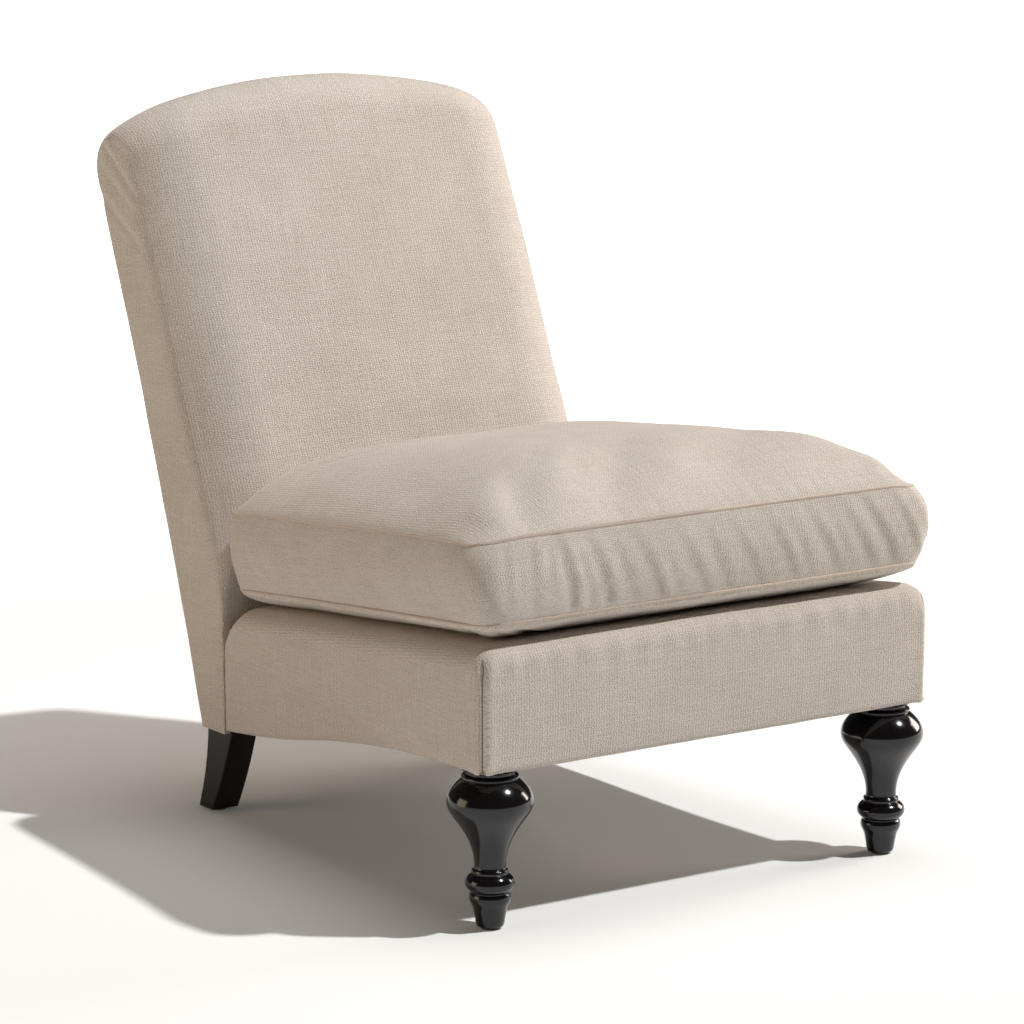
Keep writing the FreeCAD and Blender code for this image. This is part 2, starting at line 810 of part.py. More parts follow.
def make_back_covers():
    outer = back_form(0.0, back_bottom_height)
    inner = back_form(cover_thickness, back_bottom_height - 10)
    shell = outer.cut(inner)
    deck = deck_height(seat_depth)
    passage = block(Vec(-REACH / 2, 0, 0), Vec(REACH / 2, seat_depth + 2 * cover_thickness, deck))
    half = back_width / 2 - cover_thickness
    keep = block(Vec(-half, 0, 0), Vec(half, REACH, REACH))
    shell = shell.cut(passage.common(keep))
    panel_zone = outside_panel_zone(half)
    return shell.cut(panel_zone), shell.common(panel_zone)


def outside_panel_zone(half):
    """Zone of the flat rear panel, bounded above by a line that follows the crest."""
    low_mid = Vec(0, rear_foot.y - 3 * cover_thickness, back_bottom_height - 20)
    high_mid = back_point(centre_run + centre_roll, 1.3 * centre_roll)
    sideways = side_polygon([(low_mid.y, low_mid.z), (back_point(0, back_foam_thickness).y, back_point(0, 0).z),
                             (high_mid.y, high_mid.z), (high_mid.y + FAR, high_mid.z),
                             (low_mid.y + FAR, low_mid.z)], -half, half)
    drop = outside_back_top_margin
    low_z = back_bottom_height - 30
    edge_z = crest_line(half) - drop
    outline = [
        line(Vec(-half, 0, low_z), Vec(half, 0, low_z)),
        line(Vec(half, 0, low_z), Vec(half, 0, edge_z)),
        arc(Vec(half, 0, edge_z), Vec(0, 0, crest_height - drop), Vec(-half, 0, edge_z)),
        line(Vec(-half, 0, edge_z), Vec(-half, 0, low_z)),
    ]
    return sideways.common(profile(outline, Y_AXIS * REACH))


# Loose cushion, built level and then laid on the pitched deck
def cushion_outline(w, scale, swell, rear_swell, inset):
    """Closed plan outline: bowed sides, rounded corners and a straight rear edge."""
    middle = cushion_front + cushion_depth / 2

    def at(x, v):
        return Vec(x * scale, middle + (v - middle) * scale, w)

    def edge_x(v):
        share = (v - cushion_front) / cushion_depth
        return (cushion_front_width + (cushion_back_width - cushion_front_width) * share) / 2

    front = cushion_front - swell + inset
    rear = cushion_front + cushion_depth + rear_swell - inset
    corner = cushion_corner_radius
    slant = corner * (1 - math.sqrt(0.5))
    bow = cushion_side_draw
    x_front = edge_x(cushion_front) + swell - inset
    x_rear = edge_x(cushion_front + cushion_depth) + swell - inset
    taper = (x_front - x_rear) / (rear - front)
    x_a = x_front - taper * corner
    x_b = x_rear + taper * corner
    x_mid = (x_a + x_b) / 2 - bow
    front_end = at(x_front - corner, front)
    side_start = at(x_a, front + corner)
    side_end = at(x_b, rear - corner)
    rear_end = at(x_rear - corner, rear)
    right = [
        (arc(at(0, front + bow), at(x_front / 2, front + bow / 4), front_end), bow_chords // 2),
        (arc(front_end, at(x_front - slant, front + slant), side_start), corner_chords),
        (arc(side_start, at(x_mid, (front + rear) / 2), side_end), bow_chords),
        (arc(side_end, at(x_rear - slant, rear - slant), rear_end), corner_chords),
    ]
    points = [at(0, front + bow)]
    for edge, chords in right:
        points += edge.discretize(chords + 1)[1:]
    points += [Vec(-p.x, p.y, p.z) for p in reversed(points[1:])]
    return Part.makePolygon(points + [points[0]])


seam_low = cushion_under_crown
seam_high = cushion_under_crown + cushion_boxing
zip_level = (seam_low + seam_high) / 2


def cushion_parts(inset):
    """Lower crown, boxing and upper crown of the cushion form, drawn in by an inset."""
    base = cushion_rest_gap + inset
    low = []
    for scale, share in ((0.78, 0.0), (0.86, 0.15), (0.94, 0.5), (1.0, 1.0)):
        low.append(cushion_outline(base + (seam_low - base) * share, scale, 0, 0, inset))
    sides = []
    for step in range(boxing_steps + 1):
        share = step / boxing_steps
        full = math.sin(math.pi * share)
        level = seam_low + cushion_boxing * share
        sides.append(cushion_outline(level, 1.0, boxing_swell * full, -rear_boxing_draw * full, inset))
    top = []
    for step in range(crown_steps + 1):
        scale = 1 - crown_cap * math.sin(math.pi / 2 * step / crown_steps)
        rise = (cushion_crown - inset) * (1 - scale ** 3) / (1 - (1 - crown_cap) ** 3)
        top.append(cushion_outline(seam_high + rise, scale, 0, 0, inset))
    return [faceted(outlines) for outlines in (low, sides, top)]


def lay_on_deck(shape):
    laid = shape.copy()
    laid.rotate(Vec(0, 0, 0), X_AXIS, -seat_pitch)
    laid.translate(Vec(0, 0, deck_front))
    return laid


def make_foam_block():
    inset = foam_block_inset
    low = seam_low + foam_block_gap
    high = seam_high - foam_block_gap
    front = cushion_front + inset
    rear = cushion_front + cushion_depth - inset
    x_front = cushion_front_width / 2 - inset
    x_rear = cushion_back_width / 2 - inset
    points = [(-x_front, front), (x_front, front), (x_rear, rear), (-x_rear, rear)]
    return polygon([Vec(x, y, low) for x, y in points], Vec(0, 0, high - low))


def make_zip_chain():
    face = cushion_front + cushion_depth - rear_boxing_draw
    low = Vec(-zip_length / 2, face, zip_level - zip_chain_width / 2)
    return block(low, low + Vec(zip_length, zip_chain_thickness, zip_chain_width))


def make_zip_stops():
    face = cushion_front + cushion_depth - rear_boxing_draw
    stops = []
    for side in (-1, 1):
        start = side * (zip_length / 2) - (stop_length if side > 0 else 0)
        low = Vec(start, face + zip_chain_thickness, zip_level - zip_chain_width / 2)
        stops.append(block(low, low + Vec(stop_length, slider_clearance + slider_plate, zip_chain_width)))
    return Part.makeCompound(stops)


slider_face = cushion_front + cushion_depth - rear_boxing_draw + zip_chain_thickness + slider_clearance
slider_x = zip_length / 2 - stop_length - slider_clearance - slider_length / 2


def make_zip_slider():
    """Channel that straddles the chain, with two lugs and a pin for the pull."""
    face = cushion_front + cushion_depth - rear_boxing_draw
    half = zip_chain_width / 2 + slider_clearance + slider_cheek
    low = Vec(slider_x - slider_length / 2, face + cheek_stand, zip_level - half)
    high = Vec(slider_x + slider_length / 2, slider_face + slider_plate, zip_level + half)
    channel_low = Vec(low.x - 1, face - 1, zip_level - zip_chain_width / 2 - slider_clearance)
    channel_high = Vec(high.x + 1, slider_face, zip_level + zip_chain_width / 2 + slider_clearance)
    return block(low, high).cut(block(channel_low, channel_high))


pin_stand = 2 * pull_pin_radius + 1.0


def make_slider_lugs(pivot):
    pieces = []
    for side in (-1, 1):
        start = pivot.x + (lug_gap if side > 0 else -lug_gap - lug_width)
        base = Vec(start, pivot.y - pin_stand - slider_plate / 2, pivot.z - lug_reach)
        pieces.append(block(base, Vec(start + lug_width, pivot.y + lug_reach, pivot.z + lug_reach)))
    start = Vec(pivot.x - lug_gap - lug_width, pivot.y, pivot.z)
    pieces.append(Part.makeCylinder(pull_pin_radius, 2 * (lug_gap + lug_width), start, X_AXIS))
    return pieces


def make_zip_pull(pivot):
    eye_width = lug_gap - pull_play
    bore = pull_pin_radius + pull_pin_clearance
    eye = Part.makeCylinder(bore + 0.8, 2 * eye_width, Vec(pivot.x - eye_width, pivot.y, pivot.z), X_AXIS)
    neck = block(Vec(pivot.x - eye_width, pivot.y - pull_thickness / 2, pivot.z - pull_neck),
                 Vec(pivot.x + eye_width, pivot.y + pull_thickness / 2, pivot.z))
    tab = block(Vec(pivot.x - pull_width / 2, pivot.y - pull_thickness / 2, pivot.z - pull_length),
                Vec(pivot.x + pull_width / 2, pivot.y + pull_thickness / 2, pivot.z - 4))
    hole = Part.makeCylinder(bore, 2 * eye_width + 2, Vec(pivot.x - eye_width - 1, pivot.y, pivot.z), X_AXIS)
    thumb_low = Vec(pivot.x, pivot.y - pull_thickness, pivot.z - pull_length + 2 * thumb_radius)
    thumb = Part.makeCylinder(thumb_radius, 2 * pull_thickness, thumb_low, Y_AXIS)
    return eye.fuse(neck).fuse(tab).cut(hole).cut(thumb).removeSplitter()


# Assembly
def build_frame(nodes):
    right_post = make_back_post()
    left_post = mirrored(right_post)
    slab = rail_slab(long_web_drop)
    side_slab = rail_slab(cross_web_drop)
    rear_rail = make_rear_rail()
    right_side = make_side_rail(side_slab, right_post)
    leg_block = make_leg_block(slab)
    corner = make_corner_block(rear_rail, right_post)
    bolt = make_leg_bolt()
    insert = make_leg_insert()
    leg = make_front_leg()
    nodes["back_post_right"] = right_post
    nodes["back_post_left"] = left_post
    nodes["crest_rail"] = make_crest_rail()
    nodes["lower_back_rail"] = make_lower_back_rail()
    nodes["rear_seat_rail"] = rear_rail
    nodes["front_seat_rail"] = make_front_rail(slab)
    nodes["side_seat_rail_right"] = right_side
    nodes["side_seat_rail_left"] = mirrored(right_side)
    nodes["leg_blocks"] = Part.makeCompound([leg_block, mirrored(leg_block)])
    nodes["rear_corner_blocks"] = Part.makeCompound([corner, mirrored(corner)])
    nodes["front_legs"] = Part.makeCompound([leg, mirrored(leg)])
    nodes["leg_bolts"] = Part.makeCompound([bolt, mirrored(bolt)])
    nodes["leg_inserts"] = Part.makeCompound([insert, mirrored(insert)])
    nodes["foot_glides"] = make_glides()


def build_webbing(nodes):
    nodes["seat_webbing_long"] = make_long_webs(nodes["rear_seat_rail"])
    nodes["seat_webbing_cross"] = make_cross_webs()
    first = (nodes["lower_back_rail"].BoundBox.ZMin - back_point(0, back_foam_thickness).z) / math.cos(rake)
    nodes["back_webbing_level"] = make_level_back_webs(first + web_width, post_top_run - 20)
    nodes["back_webbing_upright"] = make_upright_back_webs(first + 20, post_top_run + 20)


def build_upholstery(nodes):
    posts = [nodes["back_post_left"], nodes["back_post_right"]]
    deck, front, left, right = split_seat_shell(seat_shell(posts))
    nodes["deck_cover"] = deck
    nodes["front_apron_cover"] = front
    nodes["side_apron_cover_left"] = left
    nodes["side_apron_cover_right"] = right
    nodes["deck_foam"], nodes["apron_wadding"] = make_seat_padding()
    nodes["dust_cover"] = make_dust_cover(posts)
    backing = posts + [nodes[name] for name in ("crest_rail", "back_webbing_level", "back_webbing_upright")]
    nodes["back_foam"], nodes["back_side_wadding"], nodes["back_rear_wadding"] = make_back_padding(backing)
    nodes["inside_back_cover"], nodes["outside_back_cover"] = make_back_covers()


def build_cushion(nodes):
    low, sides, top = cushion_parts(0.0)
    inner_low, inner_sides, inner_top = cushion_parts(cover_thickness)
    foam = make_foam_block()
    wrap = inner_low.fuse(inner_sides).fuse(inner_top)
    nodes["cushion_foam"] = lay_on_deck(foam)
    nodes["cushion_feather_wrap"] = lay_on_deck(wrap.cut(foam))
    nodes["cushion_bottom_panel"] = lay_on_deck(low.cut(inner_low))
    nodes["cushion_boxing"] = lay_on_deck(sides.cut(inner_sides).cut(make_zip_chain()))
    nodes["cushion_top_panel"] = lay_on_deck(top.cut(inner_top))
    nodes["zip_chain"] = lay_on_deck(make_zip_chain())
    nodes["zip_stops"] = lay_on_deck(make_zip_stops())
    slider = lay_on_deck(make_zip_slider())
    pivot = lay_on_deck(Part.Vertex(Vec(slider_x, slider_face + slider_plate, zip_level + 1.5))).Point
    pivot = pivot + Y_AXIS * pin_stand
    for piece in make_slider_lugs(pivot):
        slider = slider.fuse(piece)
    nodes["zip_slider"] = slider
    nodes["zip_pull"] = make_zip_pull(pivot)
    return pivot


def main():
    nodes = {}
    build_frame(nodes)
    build_webbing(nodes)
    build_upholstery(nodes)
    pivot = build_cushion(nodes)
    reach = [shape.optimalBoundingBox() for name, shape in nodes.items()
             if name in ("front_legs", "inside_back_cover", "cushion_boxing")]
    shift = -(min(box.YMin for box in reach) + max(box.YMax for box in reach)) / 2
    os.makedirs("parts", exist_ok=True)
    for name, shape in nodes.items():
        shape = shape.copy()
        shape.translate(Vec(0, shift, 0))
        print(name, len(shape.Solids), round(shape.Volume / 1000, 2), "cm3", shape.isValid())
        shape.exportStep("parts/" + name + ".step")
    print("shift along Y", round(shift, 3))
    print("pull pivot", round(pivot.x, 3), round(pivot.y + shift, 3), round(pivot.z, 3))
    height = max(box.ZMax for box in reach)
    depth = 2 * (min(box.YMin for box in reach) - shift)
    print("height", round(height, 2), "depth", round(depth, 2))


main()
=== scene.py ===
# %% [markdown]
# # An armless slipper chair
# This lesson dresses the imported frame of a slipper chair. The chair has a raked
# padded back with a rolled crest, a webbed and padded seat, a loose boxed cushion,
# two turned front legs and two swept back legs. The frame comes first, because
# every piece below is placed by its sizes.

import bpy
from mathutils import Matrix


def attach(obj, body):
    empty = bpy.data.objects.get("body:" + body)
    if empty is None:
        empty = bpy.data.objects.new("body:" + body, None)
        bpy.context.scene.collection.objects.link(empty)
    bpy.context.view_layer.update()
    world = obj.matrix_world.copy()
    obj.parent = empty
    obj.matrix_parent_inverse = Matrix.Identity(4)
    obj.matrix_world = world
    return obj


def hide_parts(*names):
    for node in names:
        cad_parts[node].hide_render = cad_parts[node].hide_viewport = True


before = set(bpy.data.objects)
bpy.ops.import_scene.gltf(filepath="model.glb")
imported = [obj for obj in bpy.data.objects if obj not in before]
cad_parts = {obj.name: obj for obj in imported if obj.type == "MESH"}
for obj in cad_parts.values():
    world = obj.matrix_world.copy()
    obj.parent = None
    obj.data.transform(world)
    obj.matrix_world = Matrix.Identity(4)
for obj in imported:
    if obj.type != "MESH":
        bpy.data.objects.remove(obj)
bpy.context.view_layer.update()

# %% Modules and shared values
import math

import bmesh
import bpy
import numpy as np
from mathutils import Vector, noise
from mathutils.kdtree import KDTree

scene = bpy.context.scene
scene.view_settings.view_transform = "Standard"
TAU = 2 * math.pi
SHIFT = -0.434315             # from depths measured at the seat's front to the frame's Y
PITCH = math.radians(6.0)     # fall of the deck towards the back
DECK_FRONT = 0.318            # height of the deck at the seat's front
SEAT_DEPTH = 0.585
HEM_REAR = 0.104              # height of the covers' lower edge behind
bpy.ops.object.select_all(action="DESELECT")

# %% [markdown]
# ## Camera
# The photograph looks at the chair from its left front, a little from above, with
# a long lens, so that the far edges hardly shrink. A camera can be placed by eye
# and nudged until it fits, but a small mistake in distance then bends every later
# size. Its place was solved instead from the straight edges of the seat box and the
# four feet, which are the chair's only hard points.

# %% Camera at the photograph's place
def aimed(name, data, place, target):
    thing = bpy.data.objects.new(name, data)
    scene.collection.objects.link(thing)
    thing.location = place
    thing.rotation_euler = (Vector(target) - Vector(place)).to_track_quat("-Z", "Y").to_euler()
    return thing


lens = bpy.data.cameras.new("photo_lens")
lens.sensor_width = 36.0
lens.lens = 165.46
lens.clip_start = 0.1
lens.clip_end = 60.0
scene.camera = aimed("photo_camera", lens, (-3.0612, -4.4143, 1.4027), (-0.0569, -0.1343, 0.3903))
print("camera at", tuple(round(v, 3) for v in scene.camera.location))

# %% [markdown]
# ## Writing shaders as sums
# Every finish on this chair is a pattern worked out from a point's place: threads,
# grain, haze. Such a pattern could be wired node by node, but it is easier to read
# and to change as an expression. The first small class wraps one socket, and its
# operators add the Math nodes. The second adds every other kind of node.

# %% A socket that can be added and multiplied
class Term:
    def __init__(self, maker, socket):
        self.maker = maker
        self.socket = socket

    def _math(self, kind, *values):
        return self.maker.node("ShaderNodeMath", {"operation": kind}, dict(enumerate(values)))

    def __add__(self, other):
        return self._math("ADD", self, other)

    def __radd__(self, other):
        return self._math("ADD", other, self)

    def __sub__(self, other):
        return self._math("SUBTRACT", self, other)

    def __rsub__(self, other):
        return self._math("SUBTRACT", other, self)

    def __mul__(self, other):
        return self._math("MULTIPLY", self, other)

    def __rmul__(self, other):
        return self._math("MULTIPLY", other, self)

    def sine(self):
        return self._math("SINE", self)

    def clamped(self):
        return self.maker.node("ShaderNodeClamp", {}, {"Value": self})


# %% One method that adds any node
class Tree:
    def __init__(self, tree, output_kind):
        self.tree = tree
        self.tree.nodes.clear()
        self.output = self.tree.nodes.new(output_kind)

    def plug(self, socket, value):
        if isinstance(value, Term):
            self.tree.links.new(value.socket, socket)
        else:
            socket.default_value = value

    def node(self, kind, settings, values, output=0):
        made = self.tree.nodes.new(kind)
        for name, value in settings.items():
            setattr(made, name, value)
        for key, value in values.items():
            self.plug(made.inputs[key], value)
        return Term(self, made.outputs[output])


# %% A finish: one material and its patterns
class Finish(Tree):
    def __init__(self, name):
        self.material = bpy.data.materials.new(name)
        self.material.use_nodes = True
        super().__init__(self.material.node_tree, "ShaderNodeOutputMaterial")
        self.shader = self.tree.nodes.new("ShaderNodeBsdfPrincipled")
        self.tree.links.new(self.shader.outputs[0], self.output.inputs["Surface"])

    def place(self, uv=None):
        if uv:
            return self.node("ShaderNodeUVMap", {"uv_map": uv}, {})
        return self.node("ShaderNodeTexCoord", {}, {}, "Object")

    def split(self, vector):
        return [self.node("ShaderNodeSeparateXYZ", {}, {0: vector}, axis) for axis in range(3)]

    def grain(self, vector, scale, detail=3.0, rough=0.55):
        values = {"Vector": vector, "Scale": scale, "Detail": detail, "Roughness": rough}
        return self.node("ShaderNodeTexNoise", {}, values, "Fac")

    def stretched(self, vector, scale):
        return self.node("ShaderNodeVectorMath", {"operation": "MULTIPLY"}, {0: vector, 1: scale})

    def blend(self, share, first, second):
        return self.node("ShaderNodeMix", {"data_type": "RGBA"}, {0: share, 6: first, 7: second}, 2)

    def bump(self, height, distance, strength=1.0):
        values = {"Height": height, "Distance": distance, "Strength": strength}
        self.plug(self.shader.inputs["Normal"], self.node("ShaderNodeBump", {}, values))

    def set(self, **values):
        for name, value in values.items():
            self.plug(self.shader.inputs[name.replace("_", " ")], value)
        return self


# %% [markdown]
# ## Linen
# The cover is a heavy oatmeal linen in a fine broken twill. Up close it is a field
# of small pebbles: light thread tops and darker gaps, in short upright ribs that
# waver from side to side. Thicker threads, called slubs, show as faint long lines.
# A repeated picture of cloth would show its tiles on panels this large, so the
# threads are sine waves that noise pushes about. The pattern is drawn in metres on
# each piece's own UV map, so that the threads follow the cloth round the padding.

# %% Woven linen
def linen(name, light, dark, ribs=0.0034, relief=0.0010):
    finish = Finish(name)
    cloth = finish.place("cloth")
    u, v, _ = finish.split(cloth)
    drift = finish.grain(cloth, 26.0, 2.0)
    wander = finish.grain(cloth, 190.0, 2.0)
    waver = (v * (TAU / (ribs * 1.5)) + drift * 14.0).sine()
    warp = (u * (TAU / ribs) + waver + wander * 9.0).sine() * 0.5 + 0.5
    weft = (v * (TAU / (ribs * 0.62)) + wander * 10.0).sine() * 0.5 + 0.5
    pebble = finish.grain(cloth, 430.0, 2.0, 0.6)
    thread = warp * 0.24 + weft * 0.18 + pebble * 0.58
    upright = finish.grain(finish.stretched(cloth, (520.0, 16.0, 1.0)), 1.0, 2.0)
    level = finish.grain(finish.stretched(cloth, (16.0, 520.0, 1.0)), 1.0, 2.0)
    slub = upright * 0.5 + level * 0.5
    mottle = finish.grain(cloth, 9.0, 3.0)
    share = (thread * 1.7 + slub * 0.9 + mottle * 0.3 - 0.98).clamped()
    finish.bump(thread + slub * 0.25, relief)
    finish.set(Base_Color=finish.blend(share, dark, light), Roughness=0.9)
    finish.set(Sheen_Weight=0.18, Sheen_Roughness=0.45, Specular_IOR_Level=0.25)
    return finish.material


LINEN = linen("oatmeal_linen", (0.735, 0.677, 0.616, 1), (0.405, 0.348, 0.290, 1))
LINEN_WELT = linen("linen_welt", (0.72, 0.63, 0.54, 1), (0.47, 0.385, 0.305, 1), ribs=0.0026)
# Dark linen for the seat's front corner seams: painted shade in the seam's groove, not a colour of the
# cloth.
SEAM_SHADE_LINEN = linen("linen_seam_shadow", (0.30, 0.235, 0.17, 1), (0.17, 0.125, 0.085, 1),
                   ribs=0.0026)
print("linen finishes ready")

# %% [markdown]
# ## Lacquer, timber and small metal
# The legs are ebonised: stained black and polished under a clear lacquer. A black
# surface with one low roughness would look like plastic, so the gloss is a coat over
# a nearly black ground with a trace of grain. The back legs are the same stain with
# a satin polish. What is inside the upholstery is bare hardwood, steel and brass,
# which show when the chair is taken apart.

# %% Ebonised lacquer, in gloss and in satin
def ebonised(name, ground, glow, roughness, coat, gleam):
    finish = Finish(name)
    place = finish.place()
    streak = finish.grain(finish.stretched(place, (160.0, 160.0, 9.0)), 1.0, 4.0, 0.6)
    cloud = finish.grain(place, 22.0, 2.0)
    finish.set(Base_Color=finish.blend(streak * 0.6 + cloud * 0.3, ground, glow))
    finish.set(Roughness=streak * 0.10 + (roughness - 0.05), Coat_Weight=coat, Coat_Roughness=0.04)
    finish.set(Specular_IOR_Level=gleam, Specular_Tint=(0.88, 0.92, 1.0, 1))
    finish.bump(streak + cloud * 0.6, 0.00008, 0.5)
    return finish.material


GLOSS = ebonised("ebonised_gloss", (0.0025, 0.002, 0.0022, 1), (0.007, 0.0055, 0.006, 1),
                 roughness=0.14, coat=0.35, gleam=0.42)
SATIN = ebonised("ebonised_satin", (0.006, 0.0035, 0.003, 1), (0.017, 0.010, 0.009, 1),
                 roughness=0.30, coat=0.1, gleam=0.3)


# %% Bare hardwood for the hidden rails
def hardwood(name, light, dark):
    finish = Finish(name)
    place = finish.place()
    swirl = finish.grain(place, 7.0, 2.0)
    rings = finish.grain(finish.stretched(place, (9.0, 120.0, 120.0)), 1.0, 4.0, 0.6)
    flecks = finish.grain(finish.stretched(place, (60.0, 900.0, 900.0)), 1.0, 1.0)
    finish.set(Base_Color=finish.blend((rings * 0.8 + swirl * 0.3 - 0.1).clamped(), dark, light))
    finish.set(Roughness=flecks * 0.2 + 0.5)
    finish.bump(flecks, 0.0002, 0.5)
    return finish.material


HARDWOOD = hardwood("bare_hardwood", (0.62, 0.44, 0.27, 1), (0.44, 0.28, 0.15, 1))


# %% Dust cloth, nylon, plastic and metal
def plain_weave(name, light, dark, pitch, roughness):
    finish = Finish(name)
    x, y, z = finish.split(finish.place())
    over = (x * (TAU / pitch)).sine() * ((y + z * 0.5) * (TAU / pitch)).sine()
    fuzz = finish.grain(finish.place(), 400.0, 2.0)
    share = (over * 0.35 + fuzz * 0.6 + 0.2).clamped()
    finish.set(Base_Color=finish.blend(share, dark, light), Roughness=roughness)
    finish.bump(over * 0.5 + fuzz * 0.5, 0.0004)
    return finish.material


def worn_metal(name, bright, dull, metallic, roughness):
    finish = Finish(name)
    haze = finish.grain(finish.place(), 300.0, 4.0)
    finish.set(Base_Color=finish.blend(haze, dull, bright), Metallic=metallic)
    finish.set(Roughness=haze * 0.25 + roughness)
    finish.bump(haze, 0.00005, 0.4)
    return finish.material


DUST_CLOTH = plain_weave("black_dust_cloth", (0.035, 0.034, 0.033, 1), (0.012, 0.012, 0.012, 1),
                         0.0016, 0.95)
NYLON = worn_metal("zip_nylon", (0.56, 0.50, 0.42, 1), (0.46, 0.40, 0.33, 1), 0.0, 0.4)
GLIDE = worn_metal("glide_plastic", (0.10, 0.10, 0.10, 1), (0.05, 0.05, 0.05, 1), 0.0, 0.4)
STEEL = worn_metal("plain_steel", (0.56, 0.56, 0.57, 1), (0.40, 0.40, 0.41, 1), 1.0, 0.25)
BRASS = worn_metal("dull_brass", (0.66, 0.52, 0.28, 1), (0.48, 0.36, 0.18, 1), 1.0, 0.25)
print("materials:", len(bpy.data.materials))

# %% [markdown]
# ## Sheets of points
# An upholstered piece is cut cloth drawn over a pad. It could be sculpted from a
# box, but the side lines of this chair are known curves, so the padded pieces are
# grids of points that follow the cuts of the cloth: one grid runs over the pad, and
# one closes each side. A grid keeps its own UV map in metres, which the weave reads.

# %% Joining grids into one closed piece
def strip_lengths(grid, axis):
    steps = np.linalg.norm(np.diff(grid, axis=axis), axis=2)
    lead = np.zeros_like(np.take(steps, [0], axis=axis))
    return np.cumsum(np.concatenate([lead, steps], axis=axis), axis=axis)


def grids_to_piece(name, grids, merge=0.0001):
    """Each grid is (points, u, v); rows and columns become quads with a cloth map."""
    points, faces, uvs, base = [], [], [], 0
    for grid, u, v in grids:
        rows, cols, _ = grid.shape
        index = np.arange(rows * cols).reshape(rows, cols) + base
        around = [index[:-1, :-1], index[:-1, 1:], index[1:, 1:], index[1:, :-1]]
        quads = np.stack(around, axis=-1).reshape(-1, 4)
        flat = np.stack([u, v], axis=-1).reshape(-1, 2)
        points.append(grid.reshape(-1, 3))
        faces.append(quads)
        uvs.append(flat[(quads - base).reshape(-1)])
        base += rows * cols
    mesh = bpy.data.meshes.new(name)
    mesh.from_pydata(np.concatenate(points).tolist(), [], np.concatenate(faces).tolist())
    layer = mesh.uv_layers.new(name="cloth")
    layer.data.foreach_set("uv", np.concatenate(uvs).astype(np.float32).reshape(-1))
    shape = bmesh.new()
    shape.from_mesh(mesh)
    bmesh.ops.remove_doubles(shape, verts=shape.verts, dist=merge)
    bmesh.ops.dissolve_degenerate(shape, edges=shape.edges, dist=merge / 4)
    bmesh.ops.recalc_face_normals(shape, faces=shape.faces)
    loose = sum(1 for edge in shape.edges if len(edge.link_faces) != 2)
    shape.to_mesh(mesh)
    shape.free()
    piece = bpy.data.objects.new(name, mesh)
    scene.collection.objects.link(piece)
    mesh.polygons.foreach_set("use_smooth", [True] * len(mesh.polygons))
    print(name, len(mesh.polygons), "faces,", loose, "open edges")
    return piece


# %% Reading, moving and finishing a piece
def points_of(piece):
    flat = np.empty(len(piece.data.vertices) * 3)
    piece.data.vertices.foreach_get("co", flat)
    return flat.reshape(-1, 3)


def normals_of(piece):
    flat = np.empty(len(piece.data.vertices) * 3, dtype=np.float32)
    piece.data.vertex_normals.foreach_get("vector", flat)
    return flat.reshape(-1, 3).astype(float)


def set_points(piece, points):
    piece.data.vertices.foreach_set("co", points.astype(np.float32).reshape(-1))
    piece.data.update()


def with_modifier(piece, kind, **settings):
    bpy.ops.object.select_all(action="DESELECT")
    bpy.context.view_layer.objects.active = piece
    piece.select_set(True)
    modifier = piece.modifiers.new(kind.lower(), kind)
    for key, value in settings.items():
        setattr(modifier, key, value)
    bpy.ops.object.modifier_apply(modifier=modifier.name)
    piece.select_set(False)


def dress(piece, material, body, slot, *nodes):
    piece.data.materials.clear()
    piece.data.materials.append(material)
    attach(piece, body)
    if nodes:
        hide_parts(*nodes)
    return piece


def soft_noise(points, scale, seed):
    return np.array([noise.noise(Vector(p) * scale + Vector((seed, seed * 0.7, 0))) for p in points])


# %% [markdown]
# ## The raked back
# Seen from the side, the back is one smooth line: a low wall behind the cushion, a
# straight raked face, a rolled crest and a long, slightly hollow rear curve. A
# rounded box could be bent into this, but its roll would not stay tangent to the
# face and the rear across the arch. So the side line is worked out first, as
# touching lines and circles. It is then carried across the arched crest, and the
# last 80 mm on each side are drawn back in a quarter round, as the padding is under
# the cover.

# %% Side line of the back
RAKE = math.radians(23.1)
FACE_UP = np.array([math.sin(RAKE), math.cos(RAKE)])
FACE_IN = np.array([math.cos(RAKE), -math.sin(RAKE)])
KNEE = np.array([SEAT_DEPTH, 0.377])     # where the low wall meets the raked face
KNEE_EASE = 0.035                        # length over which that bend is rounded
REAR_FOOT = np.array([0.640, HEM_REAR])
REAR_LEAN = math.radians(14.8)
REAR_RADIUS = 4.0
REAR_HUB = REAR_FOOT + np.array([math.cos(REAR_LEAN), -math.sin(REAR_LEAN)]) * REAR_RADIUS
BACK_TOP = 0.840
ARCH_RADIUS = 0.945
BACK_HALF = 0.266
SIDE_REACH = 0.080       # width of the rounded side
SIDE_SETBACK = 0.052     # how far its edge lies behind the face
SIDE_DROP = 0.024        # how far its edge lies below the crest
REAR_ROUND = 0.007       # rounding where the side meets the rear
CHAIN_POINTS = 150


def rolled_crest(top, setback):
    """Centre, radius and start of the circle that joins the face, a height and the rear curve."""
    low, high = 0.0, 2.5
    for _ in range(60):
        run = (low + high) / 2
        start = KNEE + FACE_UP * run + FACE_IN * setback
        away = start - REAR_HUB
        radius = (away @ away - REAR_RADIUS ** 2) / (2 * (REAR_RADIUS - away @ FACE_IN))
        centre = start + FACE_IN * radius
        if centre[1] + radius < top:
            low = run
        else:
            high = run
    return centre, radius, start


def turn_between(centre, start, end, count):
    first = math.atan2(start[1] - centre[1], start[0] - centre[0])
    last = math.atan2(end[1] - centre[1], end[0] - centre[0])
    radius = np.linalg.norm(start - centre)
    angles = np.linspace(first, last, count)
    return np.stack([centre[0] + radius * np.cos(angles), centre[1] + radius * np.sin(angles)], axis=1)


